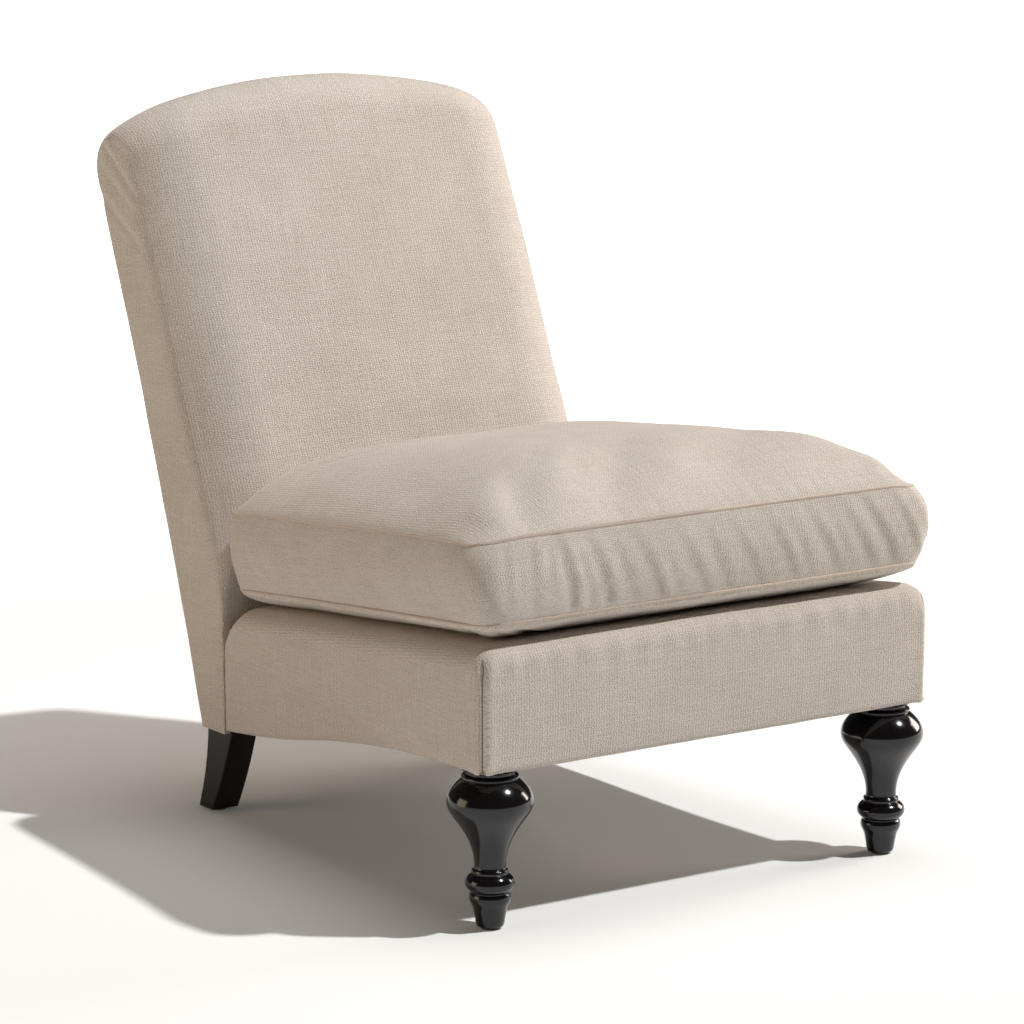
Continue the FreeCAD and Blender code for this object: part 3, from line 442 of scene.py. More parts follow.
def evenly(points, count):
    lengths = np.concatenate([[0], np.cumsum(np.linalg.norm(np.diff(points, axis=0), axis=1))])
    spots = np.linspace(0, lengths[-1], count)
    return np.stack([np.interp(spots, lengths, points[:, k]) for k in (0, 1)], axis=1)


# %% Front and rear chains of one section
def back_chains(x, setback, drop, tuck):
    top = BACK_TOP - ARCH_RADIUS + math.sqrt(ARCH_RADIUS ** 2 - x ** 2) - drop
    centre, roll, start = rolled_crest(top, setback)
    hub_side = REAR_HUB - centre
    rear = centre + hub_side / np.linalg.norm(hub_side) * roll
    crown = centre + np.array([0, roll])
    bend = np.array([KNEE[0], start[1] - (start[0] - KNEE[0]) / math.tan(RAKE)])
    corner_in = bend - np.array([0, KNEE_EASE])
    corner_out = bend + FACE_UP * KNEE_EASE
    wall = np.linspace([KNEE[0], HEM_REAR], corner_in, 18)
    t = np.linspace(0, 1, 8)[:, None]
    corner = corner_in * (1 - t) ** 2 + 2 * bend * t * (1 - t) + corner_out * t ** 2
    face = np.linspace(corner_out, start, 46)
    over = turn_between(centre, start, crown, 26)
    front = evenly(np.concatenate([wall, corner[1:], face[1:], over[1:]]), CHAIN_POINTS)
    hollow = math.sqrt(REAR_RADIUS ** 2 - (HEM_REAR - REAR_HUB[1]) ** 2)
    low = np.array([REAR_HUB[0] - hollow, HEM_REAR])
    curve = turn_between(REAR_HUB, low, rear, 60)
    behind = turn_between(centre, rear, crown, 22)
    back = evenly(np.concatenate([curve, behind[1:]]), CHAIN_POINTS)
    gap = np.linalg.norm(front - back, axis=1)
    inward = (front - back) / np.maximum(gap, 1e-6)[:, None]
    return front, back + inward * tuck


# %% Stations across the back
def rounded(radius, inside):
    """Setback of a quarter round at a distance inside its edge: the radius at 0, none past it."""
    return radius - math.sqrt(max(0.0, radius ** 2 - max(0.0, radius - inside) ** 2))


def back_stations():
    stations = []
    for angle in np.linspace(0, math.pi / 2, 21):
        reach = SIDE_REACH * (1 - math.cos(angle))
        left = 1 - math.sin(angle)
        tuck = rounded(REAR_ROUND, reach)
        stations.append((BACK_HALF - reach, SIDE_SETBACK * left, SIDE_DROP * left, tuck))
    flat = stations[-1][0]
    stations += [(x, 0.0, 0.0, 0.0) for x in np.linspace(flat, 0, 24)[1:]]
    return stations + [(-x, a, b, c) for x, a, b, c in reversed(stations[:-1])]


front_grid, rear_grid = [], []
for x, setback, drop, tuck in back_stations():
    front, rear = back_chains(x, setback, drop, tuck)
    front_grid.append(np.column_stack([np.full(len(front), x), front[:, 0] + SHIFT, front[:, 1]]))
    rear_grid.append(np.column_stack([np.full(len(rear), x), rear[:, 0] + SHIFT, rear[:, 1]]))
front_grid = np.array(front_grid)
rear_grid = np.array(rear_grid)
print("stations:", len(front_grid), "points each:", front_grid.shape[1])

# %% Close the sides and the underside
def between(first, second, steps):
    t = np.linspace(0, 1, steps)[None, :, None]
    return first[:, None, :] * (1 - t) + second[:, None, :] * t


def unrolled(grid, across_axis):
    """Cloth map of a grid by lengths along it, with the across lengths measured from the middle."""
    u = strip_lengths(grid, across_axis)
    middle = np.take(u, [u.shape[across_axis] // 2], axis=across_axis)
    return grid, u - middle, strip_lengths(grid, 1 - across_axis)


def flat_map(grid, first, second):
    return grid, grid[..., first].copy(), grid[..., second].copy()


left_side = between(front_grid[-1], rear_grid[-1], 16)
right_side = between(front_grid[0], rear_grid[0], 16)
underside = between(front_grid[:, 0], rear_grid[:, 0], 8)
back_pad = grids_to_piece("padded_back", [
    unrolled(front_grid, 0), unrolled(rear_grid, 0),
    flat_map(left_side, 1, 2), flat_map(right_side, 1, 2), flat_map(underside, 0, 1)])

# %% [markdown]
# ## Tension in the back
# Cloth pulled over a pad is never quite flat. The face swells by a few millimetres,
# the side panel carries soft folds that fan down from the roll, and the whole
# surface wavers slightly. Bump in the material would leave the outline dead
# straight, and a cloth simulation of a cover this tight would hardly move, so the
# points themselves are moved along their normals.

# %% Swell, folds and wavering of the back
def bell(value, centre, width):
    return np.exp(-((value - centre) / width) ** 2)


points = points_of(back_pad)
normals = normals_of(back_pad)
x, y, z = points.T
face_share = np.clip(-normals[:, 1], 0, 1) * np.clip((z - 0.36) / 0.1, 0, 1)
swell = 0.006 * face_share * (1 - (x / 0.27) ** 2) * np.clip((0.86 - z) / 0.2, 0, 1)
side_share = np.clip((np.abs(normals[:, 0]) - 0.75) / 0.2, 0, 1)
folds = np.zeros(len(points))
# height at the roll, slope, depth and width of each fold
for start_z, slope, depth, width in ((0.765, 0.55, 0.0012, 0.004), (0.735, 0.75, 0.0018, 0.004),
                                     (0.712, 0.62, 0.0011, 0.004), (0.680, 0.58, 0.0015, 0.005)):
    line = z - (start_z + slope * (y - (0.80 + SHIFT)))
    reach = np.clip((y - (0.745 + SHIFT)) / 0.03, 0, 1) * np.clip((0.862 + SHIFT - y) / 0.02, 0, 1)
    groove, ridge = bell(line, 0, width), bell(line, 0.012, width * 1.3)
    folds += -depth * groove * reach + 0.6 * depth * ridge * reach
waver = 0.0011 * soft_noise(points, 7.0, 3.1) + 0.0005 * soft_noise(points, 22.0, 8.3)
side_swell = 0.0035 * side_share * np.sin(np.clip((z - 0.10) / 0.7, 0, 1) * math.pi)
lift = swell + waver + side_share * folds + side_swell
lift *= np.clip((z - 0.106) / 0.02, 0, 1)
set_points(back_pad, points + normals * lift[:, None])
dress(back_pad, LINEN, "chair", "linen", "inside_back_cover", "outside_back_cover", "back_foam",
      "back_side_wadding", "back_rear_wadding", "back_webbing_level", "back_webbing_upright")
print("back moved by up to", round(float(np.abs(lift).max()) * 1000, 1), "mm")

# %% [markdown]
# ## The seat box
# The fixed seat is wider in front than behind. Its deck falls towards the back, its
# lower edge sweeps down to the back legs, and its top edges are softly rounded. The
# rear top corner rolls down where the cover tucks in behind the side panel. A
# tapered box with bevels would be close, but its bevel can't fade into that roll, so
# the box is laid out as rings from front to rear, each from the same few lines.

# %% Lines of the seat box
SEAT_FRONT_WIDTH = 0.615
SEAT_REAR_WIDTH = 0.532
APRON_LOW = 0.180          # height of the hem in front


def seat_half(y):
    return SEAT_FRONT_WIDTH / 2 - (SEAT_FRONT_WIDTH - SEAT_REAR_WIDTH) / 2 / SEAT_DEPTH * y


def deck_line(y):
    return DECK_FRONT - math.tan(PITCH) * y


def tangent_arc_points(start, heading, end, count):
    """Points of the arc that leaves start along heading and reaches end; also its last heading."""
    start, heading, end = map(np.asarray, (start, heading, end))
    chord = end - start
    side = np.array([-heading[1], heading[0]])
    radius = chord @ chord / (2 * (chord @ side))
    centre = start + side * radius
    first = math.atan2(*(start - centre)[::-1])
    last = math.atan2(*(end - centre)[::-1])
    angles = np.linspace(first, last, count)
    points = centre + abs(radius) * np.stack([np.cos(angles), np.sin(angles)], axis=1)
    along = chord / np.linalg.norm(chord)
    return points, along * (2 * heading @ along) - heading


first_run, turned = tangent_arc_points((0, APRON_LOW), (1, 0), (0.370, 0.142), 40)
second_run, _ = tangent_arc_points((0.370, 0.142), turned, (SEAT_DEPTH, 0.109), 30)
hem_line = np.concatenate([[[-0.02, APRON_LOW]], first_run, second_run[1:], [[0.66, 0.103]]])


def hem_height(y):
    return float(np.interp(y, hem_line[:, 0], hem_line[:, 1]))


# %% Rings of the seat box from front to rear
EDGE = 0.024            # rounding along the deck
CORNER = 0.011          # rounding of the upright front corners
REAR_CORNER = 0.006     # rounding of the upright rear corners
ROLL_START, ROLL_RUN, ROLL_DROP = 0.534, 0.053, 0.052
SEAT_COLUMNS = 84
SEAT_SIDE_ROWS = 22


def seat_stations():
    quarter = np.linspace(0, math.pi / 2, 12)
    soft = [EDGE * (1 - math.cos(a)) for a in quarter]
    tail = [0.586 - REAR_CORNER * (1 - math.cos(a)) for a in np.linspace(math.pi / 2, 0, 6)]
    near = [CORNER * (1 - math.cos(a)) for a in np.linspace(0, math.pi / 2, 10)]
    middle = list(np.linspace(EDGE, 0.530, 64)[1:])
    rolled = list(np.linspace(0.530, 0.580, 16)[1:-1])
    return sorted(set(round(v, 6) for v in soft + near + middle + rolled + tail))


def seat_ring(y):
    """Upper and under points of one ring, as pairs of across and height."""
    half = seat_half(y) - rounded(CORNER, y)
    half -= rounded(REAR_CORNER, REAR_CORNER - max(0.0, y - 0.580))
    low = hem_height(y)
    roll = min(0.999, max(0.0, y - ROLL_START) / ROLL_RUN)
    top = deck_line(y) - rounded(EDGE, y) - ROLL_DROP * (1 - math.sqrt(1 - roll ** 2))
    edge = min(EDGE, (top - low) / 2)
    flat = half - edge
    arc = np.linspace(math.pi, math.pi / 2, 9)
    left = np.column_stack([-flat + edge * np.cos(arc), top - edge + edge * np.sin(arc)])
    level = np.linspace(-flat, flat, SEAT_COLUMNS - 16)[1:-1]
    deck = np.column_stack([level, np.full(len(level), top)])
    upper = np.concatenate([left, deck, left[::-1] * [-1, 1]])
    return upper, np.column_stack([upper[:, 0], np.full(len(upper), low)])


def at_depth(pairs, y):
    return np.column_stack([pairs[:, 0], np.full(len(pairs), y + SHIFT), pairs[:, 1]])


upper_grid, under_grid, left_grid, right_grid = [], [], [], []
share = np.linspace(0, 1, SEAT_SIDE_ROWS)[:, None]
for y in seat_stations():
    upper, under = seat_ring(y)
    upper_grid.append(at_depth(upper, y))
    under_grid.append(at_depth(under, y))
    left_grid.append(at_depth(under[0] * (1 - share) + upper[0] * share, y))
    right_grid.append(at_depth(under[-1] * (1 - share) + upper[-1] * share, y))
upper_grid, under_grid = np.array(upper_grid), np.array(under_grid)
left_grid, right_grid = np.array(left_grid), np.array(right_grid)
front_face = between(under_grid[0], upper_grid[0], SEAT_SIDE_ROWS)
rear_face = between(under_grid[-1], upper_grid[-1], SEAT_SIDE_ROWS)
seat_box = grids_to_piece("seat_box", [
    unrolled(upper_grid, 1),
    flat_map(under_grid, 0, 1), flat_map(left_grid, 1, 2), flat_map(right_grid, 1, 2),
    flat_map(front_face, 0, 2), flat_map(rear_face, 0, 2)])

# %% [markdown]
# ## Padding under the seat covers
# Wadding fills the aprons, so they bulge a little between hem and deck. The cover
# is pulled over the front edge and tacked below, which leaves fine ripples under
# that edge and a pinched fold down each front corner. As on the back, points are
# moved along their normals, because these marks show in the outline.

# %% Bulge, ripples and corner folds of the seat
points = points_of(seat_box)
normals = normals_of(seat_box)
x, y, z = points[:, 0], points[:, 1] - SHIFT, points[:, 2]
hem = np.array([hem_height(v) for v in y])
height = np.array([deck_line(v) for v in y]) - hem
rise = np.clip((z - hem) / height, 0, 1)
wide = np.array([seat_half(v) for v in y])
front_share = np.clip(-normals[:, 1] * 1.6 - 0.5, 0, 1)
side_share = np.clip(np.abs(normals[:, 0]) * 1.6 - 0.5, 0, 1)
belly = np.sin(np.clip(rise, 0, 1) * math.pi) ** 0.8
ends = 1 - np.clip(np.abs(x) / wide, 0, 1) ** 10
lift = front_share * 0.0048 * belly * ends
between_ends = np.clip((y - 0.004) / 0.03, 0, 1) * np.clip((0.588 - y) / 0.02, 0, 1)
lift += side_share * 0.0040 * belly * between_ends
lift += 0.0009 * soft_noise(points, 9.0, 1.7) * (0.4 + belly) + 0.0004 * soft_noise(points, 30.0, 5.9)
ripple = 0.0009 * np.sin(x * TAU / 0.034 + 1.3 * np.sin(x * 23)) * bell(rise, 0.86, 0.12) * front_share
SEAM_INSET = 0.29 * CORNER     # where a 45-degree line meets the rounded corner
off_corner = np.hypot(np.abs(x) - (seat_half(0.0) - SEAM_INSET), y - SEAM_INSET)
fold = -(0.0010 + 0.0026 * np.clip((rise - 0.72) / 0.15, 0, 1)) * bell(off_corner, 0, 0.0035)
fold += 0.0010 * bell(off_corner, 0.009, 0.005)
set_points(seat_box, points + normals * (lift + ripple + fold)[:, None])
dress(seat_box, LINEN, "chair", "linen", "deck_cover", "front_apron_cover", "side_apron_cover_left",
      "side_apron_cover_right", "deck_foam", "apron_wadding", "seat_webbing_long", "seat_webbing_cross")
print("seat box height in front:", round(float(height.max()) * 1000), "mm")

# %% [markdown]
# ## The loose cushion
# A boxed cushion is two panels and a band sewn between them. The top panel is filled
# to a high crown. The seams hold their line while the cloth between them swells. It
# could be blown up from flat panels, but a simulation then decides the crown's
# height and the seams' course. Here rings give the photographed form, the seam rows
# are pinned, and the simulation only blows up the rest a little, which gives the
# cloth its natural tension.

# %% Outline of the cushion at one level
CUSHION_FRONT = -0.008
CUSHION_DEPTH = 0.573
CUSHION_FRONT_HALF = 0.310
CUSHION_REAR_HALF = 0.274
CUSHION_CORNER = 0.030
SIDE_BOW = 0.004         # inward bow of the seams between the corners
SEAM_LOW = 0.023
SEAM_HIGH = 0.114
BAND_LEAN = 0.006        # how far the lower seam lies inside the upper one
BAND_SWELL = 0.0095
CROWN_RISE = 0.074
DECK_CLEAR = 0.0006      # gap between the cushion and the deck
RING_POINTS = 272


def rounded_outline(scale, swell, rear_swell, lean=0.0):
    """One ring of the cushion, from the middle of its front round its right side."""
    middle = CUSHION_FRONT + CUSHION_DEPTH / 2
    front = CUSHION_FRONT - swell + lean
    rear = CUSHION_FRONT + CUSHION_DEPTH + rear_swell
    x_front = CUSHION_FRONT_HALF + swell - lean
    x_rear = CUSHION_REAR_HALF + swell - lean
    corner = CUSHION_CORNER
    taper = (x_front - x_rear) / (rear - front)
    x_a, x_b = x_front - taper * corner, x_rear + taper * corner

    def bowed(start, end, inward, steps):
        t = np.linspace(0, 1, steps)[:, None]
        line = np.array(start) * (1 - t) + np.array(end) * t
        return line + np.array(inward) * (4 * t * (1 - t))

    def turned_corner(start, apex, end, steps=10):
        t = np.linspace(0, 1, steps)[:, None]
        return np.array(start) * (1 - t) ** 2 + 2 * np.array(apex) * t * (1 - t) + np.array(end) * t ** 2

    front_apex = (x_front - 0.003, front + 0.002)
    rear_apex = (x_rear - 0.003, rear - 0.002)
    half = [bowed((0, front + SIDE_BOW), (x_front - corner, front), (0, 0), 24)[:-1],
            turned_corner((x_front - corner, front), front_apex, (x_a, front + corner)),
            bowed((x_a, front + corner), (x_b, rear - corner), (-SIDE_BOW, 0), 40)[1:-1],
            turned_corner((x_b, rear - corner), rear_apex, (x_rear - corner, rear)),
            bowed((x_rear - corner, rear), (0, rear), (0, 0), 20)[1:]]
    half = np.concatenate(half)
    ring = np.concatenate([half, (half * [-1, 1])[::-1][1:-1]])
    ring = evenly(np.concatenate([ring, ring[:1]]), RING_POINTS + 1)
    return np.column_stack([ring[:, 0] * scale, middle + (ring[:, 1] - middle) * scale])


# %% Rings from the underside to the crown
BASE_FLAT = 0.78         # share of the underside that lies flat


def laid(pairs, level):
    """A ring at a level of the cushion, laid on the pitched deck."""
    flat = np.column_stack([pairs, np.full(len(pairs), level)])
    c, s = math.cos(-PITCH), math.sin(-PITCH)
    y = flat[:, 1] * c - flat[:, 2] * s
    z = flat[:, 1] * s + flat[:, 2] * c + DECK_FRONT
    return np.column_stack([flat[:, 0], y + SHIFT, z])


low_rings = [(t * BASE_FLAT, DECK_CLEAR) for t in np.linspace(0, 1, 9)]
for angle in np.linspace(0, math.pi / 2, 14)[1:]:
    scale = BASE_FLAT + (1 - BASE_FLAT) * math.sin(angle)
    low_rings.append((scale, DECK_CLEAR + (SEAM_LOW - DECK_CLEAR) * (1 - math.cos(angle))))
low_grid = np.array([laid(rounded_outline(scale, 0, 0, BAND_LEAN), level) for scale, level in low_rings])
band_rings = []
for t in np.linspace(0, 1, 19):
    full = math.sin(math.pi * t)
    outline = rounded_outline(1.0, BAND_SWELL * full, -0.003 * full, BAND_LEAN * (1 - t))
    band_rings.append(laid(outline, SEAM_LOW + (SEAM_HIGH - SEAM_LOW) * t))
band_grid = np.array(band_rings)
top_rings = []
for t in np.linspace(0, 1, 38):
    scale = 1 - math.sin(math.pi / 2 * t)
    rise = CROWN_RISE * (1 - scale ** 4.2)
    top_rings.append(laid(rounded_outline(max(scale, 0.0), 0, 0), SEAM_HIGH + rise))
top_grid = np.array(top_rings)


def spread_map(grid):
    """Cloth map of a crowned panel: each point keeps its real distance from the middle."""
    centre = grid[-1, 0]
    inward = strip_lengths(grid, 0)
    length = inward[-1:] - inward
    flat = grid[..., :2] - centre[:2]
    stretch = length / np.maximum(np.linalg.norm(flat, axis=2), 1e-6)
    stretch[-1] = 1.0
    return grid, flat[..., 0] * stretch, flat[..., 1] * stretch


band_map = (band_grid, strip_lengths(band_grid, 1), strip_lengths(band_grid, 0))
cushion = grids_to_piece("seat_cushion_pad", [flat_map(low_grid, 0, 1), band_map, spread_map(top_grid)])
seam_rows = {"top": band_grid[-1], "low": band_grid[0]}

# %% Local directions of the cushion
def cushion_local(points):
    """Across, depth and level in the cushion's own frame, before it was laid on the deck."""
    y = points[:, 1] - SHIFT
    z = points[:, 2] - DECK_FRONT
    c, s = math.cos(PITCH), math.sin(PITCH)
    return points[:, 0], y * c - z * s, y * s + z * c


# %% Blow the cushion up between its seams
def near_rows(piece, rows, reach):
    """Share of each point that lies on a seam row: 1 on it, 0 from reach onwards."""
    spots = np.concatenate(list(rows))
    tree = KDTree(len(spots))
    for number, spot in enumerate(spots):
        tree.insert(spot, number)
    tree.balance()
    away = np.array([tree.find(spot)[2] for spot in points_of(piece)])
    return np.clip(1 - away / reach, 0, 1)


def blown_up(piece, pinned, cap, pressure=4.0, frames=20):
    start = points_of(piece)
    pin = piece.vertex_groups.new(name="seams")
    for index, share in enumerate(pinned):
        if share > 0.02:
            pin.add([index], float(min(1, share * 1.4)), "REPLACE")
    modifier = piece.modifiers.new("cloth", "CLOTH")
    settings = modifier.settings
    settings.quality = 6
    settings.use_pressure = True
    settings.uniform_pressure_force = pressure
    settings.effector_weights.gravity = 0.0
    settings.vertex_group_mass = "seams"
    settings.tension_stiffness = 40
    settings.compression_stiffness = 40
    settings.bending_stiffness = 2.0
    for number in range(1, frames + 1):
        scene.frame_set(number)
    evaluated = piece.evaluated_get(bpy.context.evaluated_depsgraph_get())
    moved = np.array([v.co for v in evaluated.data.vertices])
    piece.modifiers.remove(modifier)
    scene.frame_set(1)
    shift = moved - start
    far = np.linalg.norm(shift, axis=1)
    shift *= np.minimum(1, cap / np.maximum(far, 1e-9))[:, None]
    set_points(piece, start + shift)
    print(piece.name, "swelled by up to", round(float(far.max()) * 1000, 1), "mm, kept", cap * 1000)


held = near_rows(cushion, seam_rows.values(), 0.010)
_, depth_in, level_in = cushion_local(points_of(cushion))
zip_side = np.clip((depth_in - 0.548) / 0.008, 0, 1) * np.clip((SEAM_HIGH - level_in) / 0.004, 0, 1)
held = np.maximum(held, zip_side)
blown_up(cushion, held, 0.008)

# %% [markdown]
# ## Creases in the cushion
# The filling pulls at the seams. Short slanted creases run down the front band from
# the top seam and up from the lower one, the corners are pinched where four layers
# meet, and the crown has a few broad, soft dents near the front. A finer simulation
# could fold them by chance in other places, so each crease is a groove with a ridge
# beside it, put where the cloth of such a cushion gathers.

# %% Creases of the front band
# centre across, width, depth of groove, lean, level where it is deepest, length in levels
front_creases = [(-0.279, 0.0040, 0.0030, 0.05, 0.9, 0.8), (-0.262, 0.0030, 0.0022, 0.00, 0.9, 0.7),
                 (-0.246, 0.0050, 0.0034, 0.10, 0.7, 0.9), (-0.222, 0.0034, 0.0036, 0.15, 0.5, 1.0),
                 (-0.209, 0.0060, 0.0052, 0.25, 0.6, 1.0), (-0.188, 0.0032, 0.0034, 0.30, 0.4, 0.6),
                 (-0.172, 0.0055, 0.0040, 0.40, 0.3, 0.8), (-0.140, 0.0042, 0.0030, 0.40, 0.3, 0.6),
                 (-0.112, 0.0060, 0.0034, 0.50, 0.2, 0.7), (-0.082, 0.0036, 0.0016, 0.45, 0.2, 0.5),
                 (-0.058, 0.0065, 0.0024, 0.55, 0.3, 0.6), (-0.020, 0.0048, 0.0026, 0.50, 0.2, 0.7),
                 (0.014, 0.0070, 0.0024, 0.60, 0.3, 0.6), (0.038, 0.0036, 0.0022, 0.55, 0.2, 0.5),
                 (0.066, 0.0058, 0.0030, 0.55, 0.2, 0.7), (0.094, 0.0040, 0.0026, 0.50, 0.2, 0.5),
                 (0.122, 0.0065, 0.0032, 0.60, 0.3, 0.8), (0.150, 0.0038, 0.0026, 0.50, 0.2, 0.5),
                 (0.171, 0.0055, 0.0034, 0.60, 0.2, 0.8), (0.204, 0.0066, 0.0042, 0.60, 0.3, 0.9),
                 (0.228, 0.0036, 0.0034, 0.55, 0.2, 0.7), (0.247, 0.0052, 0.0042, 0.50, 0.3, 0.9),
                 (0.272, 0.0040, 0.0034, 0.45, 0.3, 0.7)]

points = points_of(cushion)
normals = normals_of(cushion)
cx, cy, cw = cushion_local(points)
level = np.clip((cw - SEAM_LOW) / (SEAM_HIGH - SEAM_LOW), 0, 1)
on_band = np.clip(1 - np.abs(normals[:, 2]) * 1.1, 0, 1)
on_band = on_band * (cw > SEAM_LOW - 0.004) * (cw < SEAM_HIGH + 0.004)
front_band = on_band * np.clip(-normals[:, 1] * 1.5 - 0.3, 0, 1)
free = np.clip(1 - held, 0, 1)
lift = np.zeros(len(points))
for centre, width, depth, lean, origin, length in front_creases:
    run = cx - centre - lean * 0.09 * (1 - level)
    fade = bell(level, origin, length) * np.clip(np.minimum(level, 1 - level) / 0.10, 0.15, 1)
    lift += front_band * fade * depth * (0.75 * bell(run, width * 1.7, width) - bell(run, 0, width * 0.8))

# %% Side band, crown and corner pinches
def pinch_corners(spots, across, depth, level):
    """Draw the corners of the top seam down and inwards: strongly in front, a little behind."""
    for side in (-1, 1):
        for corner_x, corner_y, inward, pull in ((0.288, 0.018, 1, 0.0115), (0.250, 0.540, -1, 0.004)):
            near = bell(across, side * corner_x, 0.022) * bell(depth, corner_y, 0.022)
            pinch = near * bell(level, SEAM_HIGH, 0.020)
            spots[:, 2] -= pinch * pull
            spots[:, 0] -= side * pinch * pull * 0.8
            spots[:, 1] += inward * pinch * pull * 0.8


side_band = on_band * np.clip(np.abs(normals[:, 0]) * 1.5 - 0.4, 0, 1)
lift += side_band * 0.0012 * np.sin(cy * TAU / 0.055 + 2.1 * np.sin(cy * 17)) * np.sin(level * math.pi)
crown_share = np.clip((cw - SEAM_HIGH) / 0.012, 0, 1)
# centre across and in depth, width and length, height, slant
for spot_x, spot_y, across_width, along_width, depth, lean in (
        (-0.215, 0.055, 0.026, 0.060, -0.0075, 0.5), (-0.140, 0.080, 0.026, 0.070, 0.0042, 0.7),
        (-0.066, 0.075, 0.026, 0.080, -0.0050, 0.8), (0.020, 0.085, 0.030, 0.080, 0.0028, 0.8),
        (0.090, 0.070, 0.032, 0.080, -0.0034, 0.9), (0.180, 0.060, 0.030, 0.060, 0.0024, 0.8),
        (0.245, 0.050, 0.020, 0.045, -0.0030, 0.6), (-0.250, 0.200, 0.025, 0.060, -0.0030, 0.2)):
    run = cx - spot_x - lean * (cy - spot_y)
    lift += crown_share * depth * bell(run, 0, across_width) * bell(cy, spot_y, along_width)
gather = crown_share * bell(cw, SEAM_HIGH + 0.006, 0.012) * (cy < 0.05)
lift += gather * 0.0014 * np.sin(cx * TAU / 0.021 + 2 * np.sin(cx * 31))
lift += 0.0012 * soft_noise(points, 10.0, 2.2) * free + 0.0005 * soft_noise(points, 34.0, 6.4) * free
lift *= 1 - zip_side
moved = points + normals * lift[:, None]
pinch_corners(moved, cx, cy, cw)
set_points(cushion, moved)
with_modifier(cushion, "SUBSURF", levels=1, render_levels=1)
dress(cushion, LINEN, "seat_cushion", "linen", "cushion_top_panel", "cushion_boxing",
      "cushion_bottom_panel", "cushion_feather_wrap", "cushion_foam")
print("cushion faces:", len(cushion.data.polygons))

# %% [markdown]
# ## Welts and seams
# The cushion's seams are self-welts: a thin cord wrapped in the same linen. At the
# seat's front corners two covers meet in a plain closed seam, seen as a fine dark
# line: a thin tube in dark linen, which is painted shade in the seam's groove. A
# bevelled curve would give the same tube but no cloth map, so both are grids wound
# round points that are read from the finished surfaces.

# %% A thin tube along a line
def tube(name, line, radius, closed=False, sides=8):
    """Closed or capped tube with a cloth map along its length."""
    line = np.asarray(line, float)
    count = len(line)
    ahead = np.roll(line, -1, axis=0) - np.roll(line, 1, axis=0)
    if not closed:
        ahead[0], ahead[-1] = line[1] - line[0], line[-1] - line[-2]
    ahead /= np.linalg.norm(ahead, axis=1)[:, None]
    up = np.tile([0.0, 0.0, 1.0], (count, 1))
    steep = np.abs(ahead[:, 2]) > 0.9
    up[steep] = (0.0, 1.0, 0.0)
    aside = np.cross(ahead, up)
    aside /= np.linalg.norm(aside, axis=1)[:, None]
    over = np.cross(aside, ahead)
    angles = np.linspace(0, TAU, sides + 1)
    ring = line[:, None, :] + radius * (aside[:, None, :] * np.cos(angles)[None, :, None]
                                        + over[:, None, :] * np.sin(angles)[None, :, None])
    if closed:
        ring = np.concatenate([ring, ring[:1]])
    grids = [ring]
    if not closed:
        grids.append(np.stack([np.tile(line[0], (sides + 1, 1)), ring[0]]))
        grids.append(np.stack([ring[-1], np.tile(line[-1], (sides + 1, 1))]))
    mapped = [(grid, strip_lengths(grid, 1), strip_lengths(grid, 0)) for grid in grids]
    return grids_to_piece(name, mapped, merge=0.00002)


def on_surface(piece, line, sink):
    """Line moved to the nearest points of a piece, then sunk along its normals."""
    found = []
    for spot in line:
        _, place, normal, _ = piece.closest_point_on_mesh(Vector(spot))
        found.append(np.array(place) - np.array(normal) * sink)
    return np.array(found)


def smoothed_loop(line, rounds=2):
    for _ in range(rounds):
        line = (np.roll(line, 1, axis=0) + 2 * line + np.roll(line, -1, axis=0)) / 4
    return line


# %% Welts of the cushion
for name, row in (("welt_top", seam_rows["top"]), ("welt_low", seam_rows["low"])):
    pinched = row[:-1].copy()
    pinch_corners(pinched, *cushion_local(pinched))
    line = smoothed_loop(on_surface(cushion, pinched, 0.0))
    welt = tube(name, line, 0.0021, closed=True)
    dress(welt, LINEN_WELT, "seat_cushion", "linen")

# %% Plain seams at the seat's front corners
for side, label in ((-1, "left"), (1, "right")):
    heights = np.linspace(0.181, 0.306, 40)
    corner_x, corner_y = side * (seat_half(0.0) - SEAM_INSET), SHIFT + SEAM_INSET
    corner = np.array([[corner_x, corner_y, height] for height in heights])
    # The seam tube is dark linen: painted shade in the groove where the two covers meet.
    seam = tube("corner_seam_shade_" + label, on_surface(seat_box, corner, 0.0003), 0.0008)
    dress(seam, SEAM_SHADE_LINEN, "chair", "linen")

# %% [markdown]
# ## Turned front legs
# A turned leg is cut on a lathe: a plate, a ring, a bulb, a waist, a bead, a groove
# and a tapered foot, all about one axis. A profile could be spun round that axis,
# which leaves a seam to close. Instead the leg starts as a cylinder at its real
# place, is cut into rings in edit mode, and each ring is resized about the leg's own
# axis, as a gouge would cut it. Pairs of close rings keep the fillets crisp.

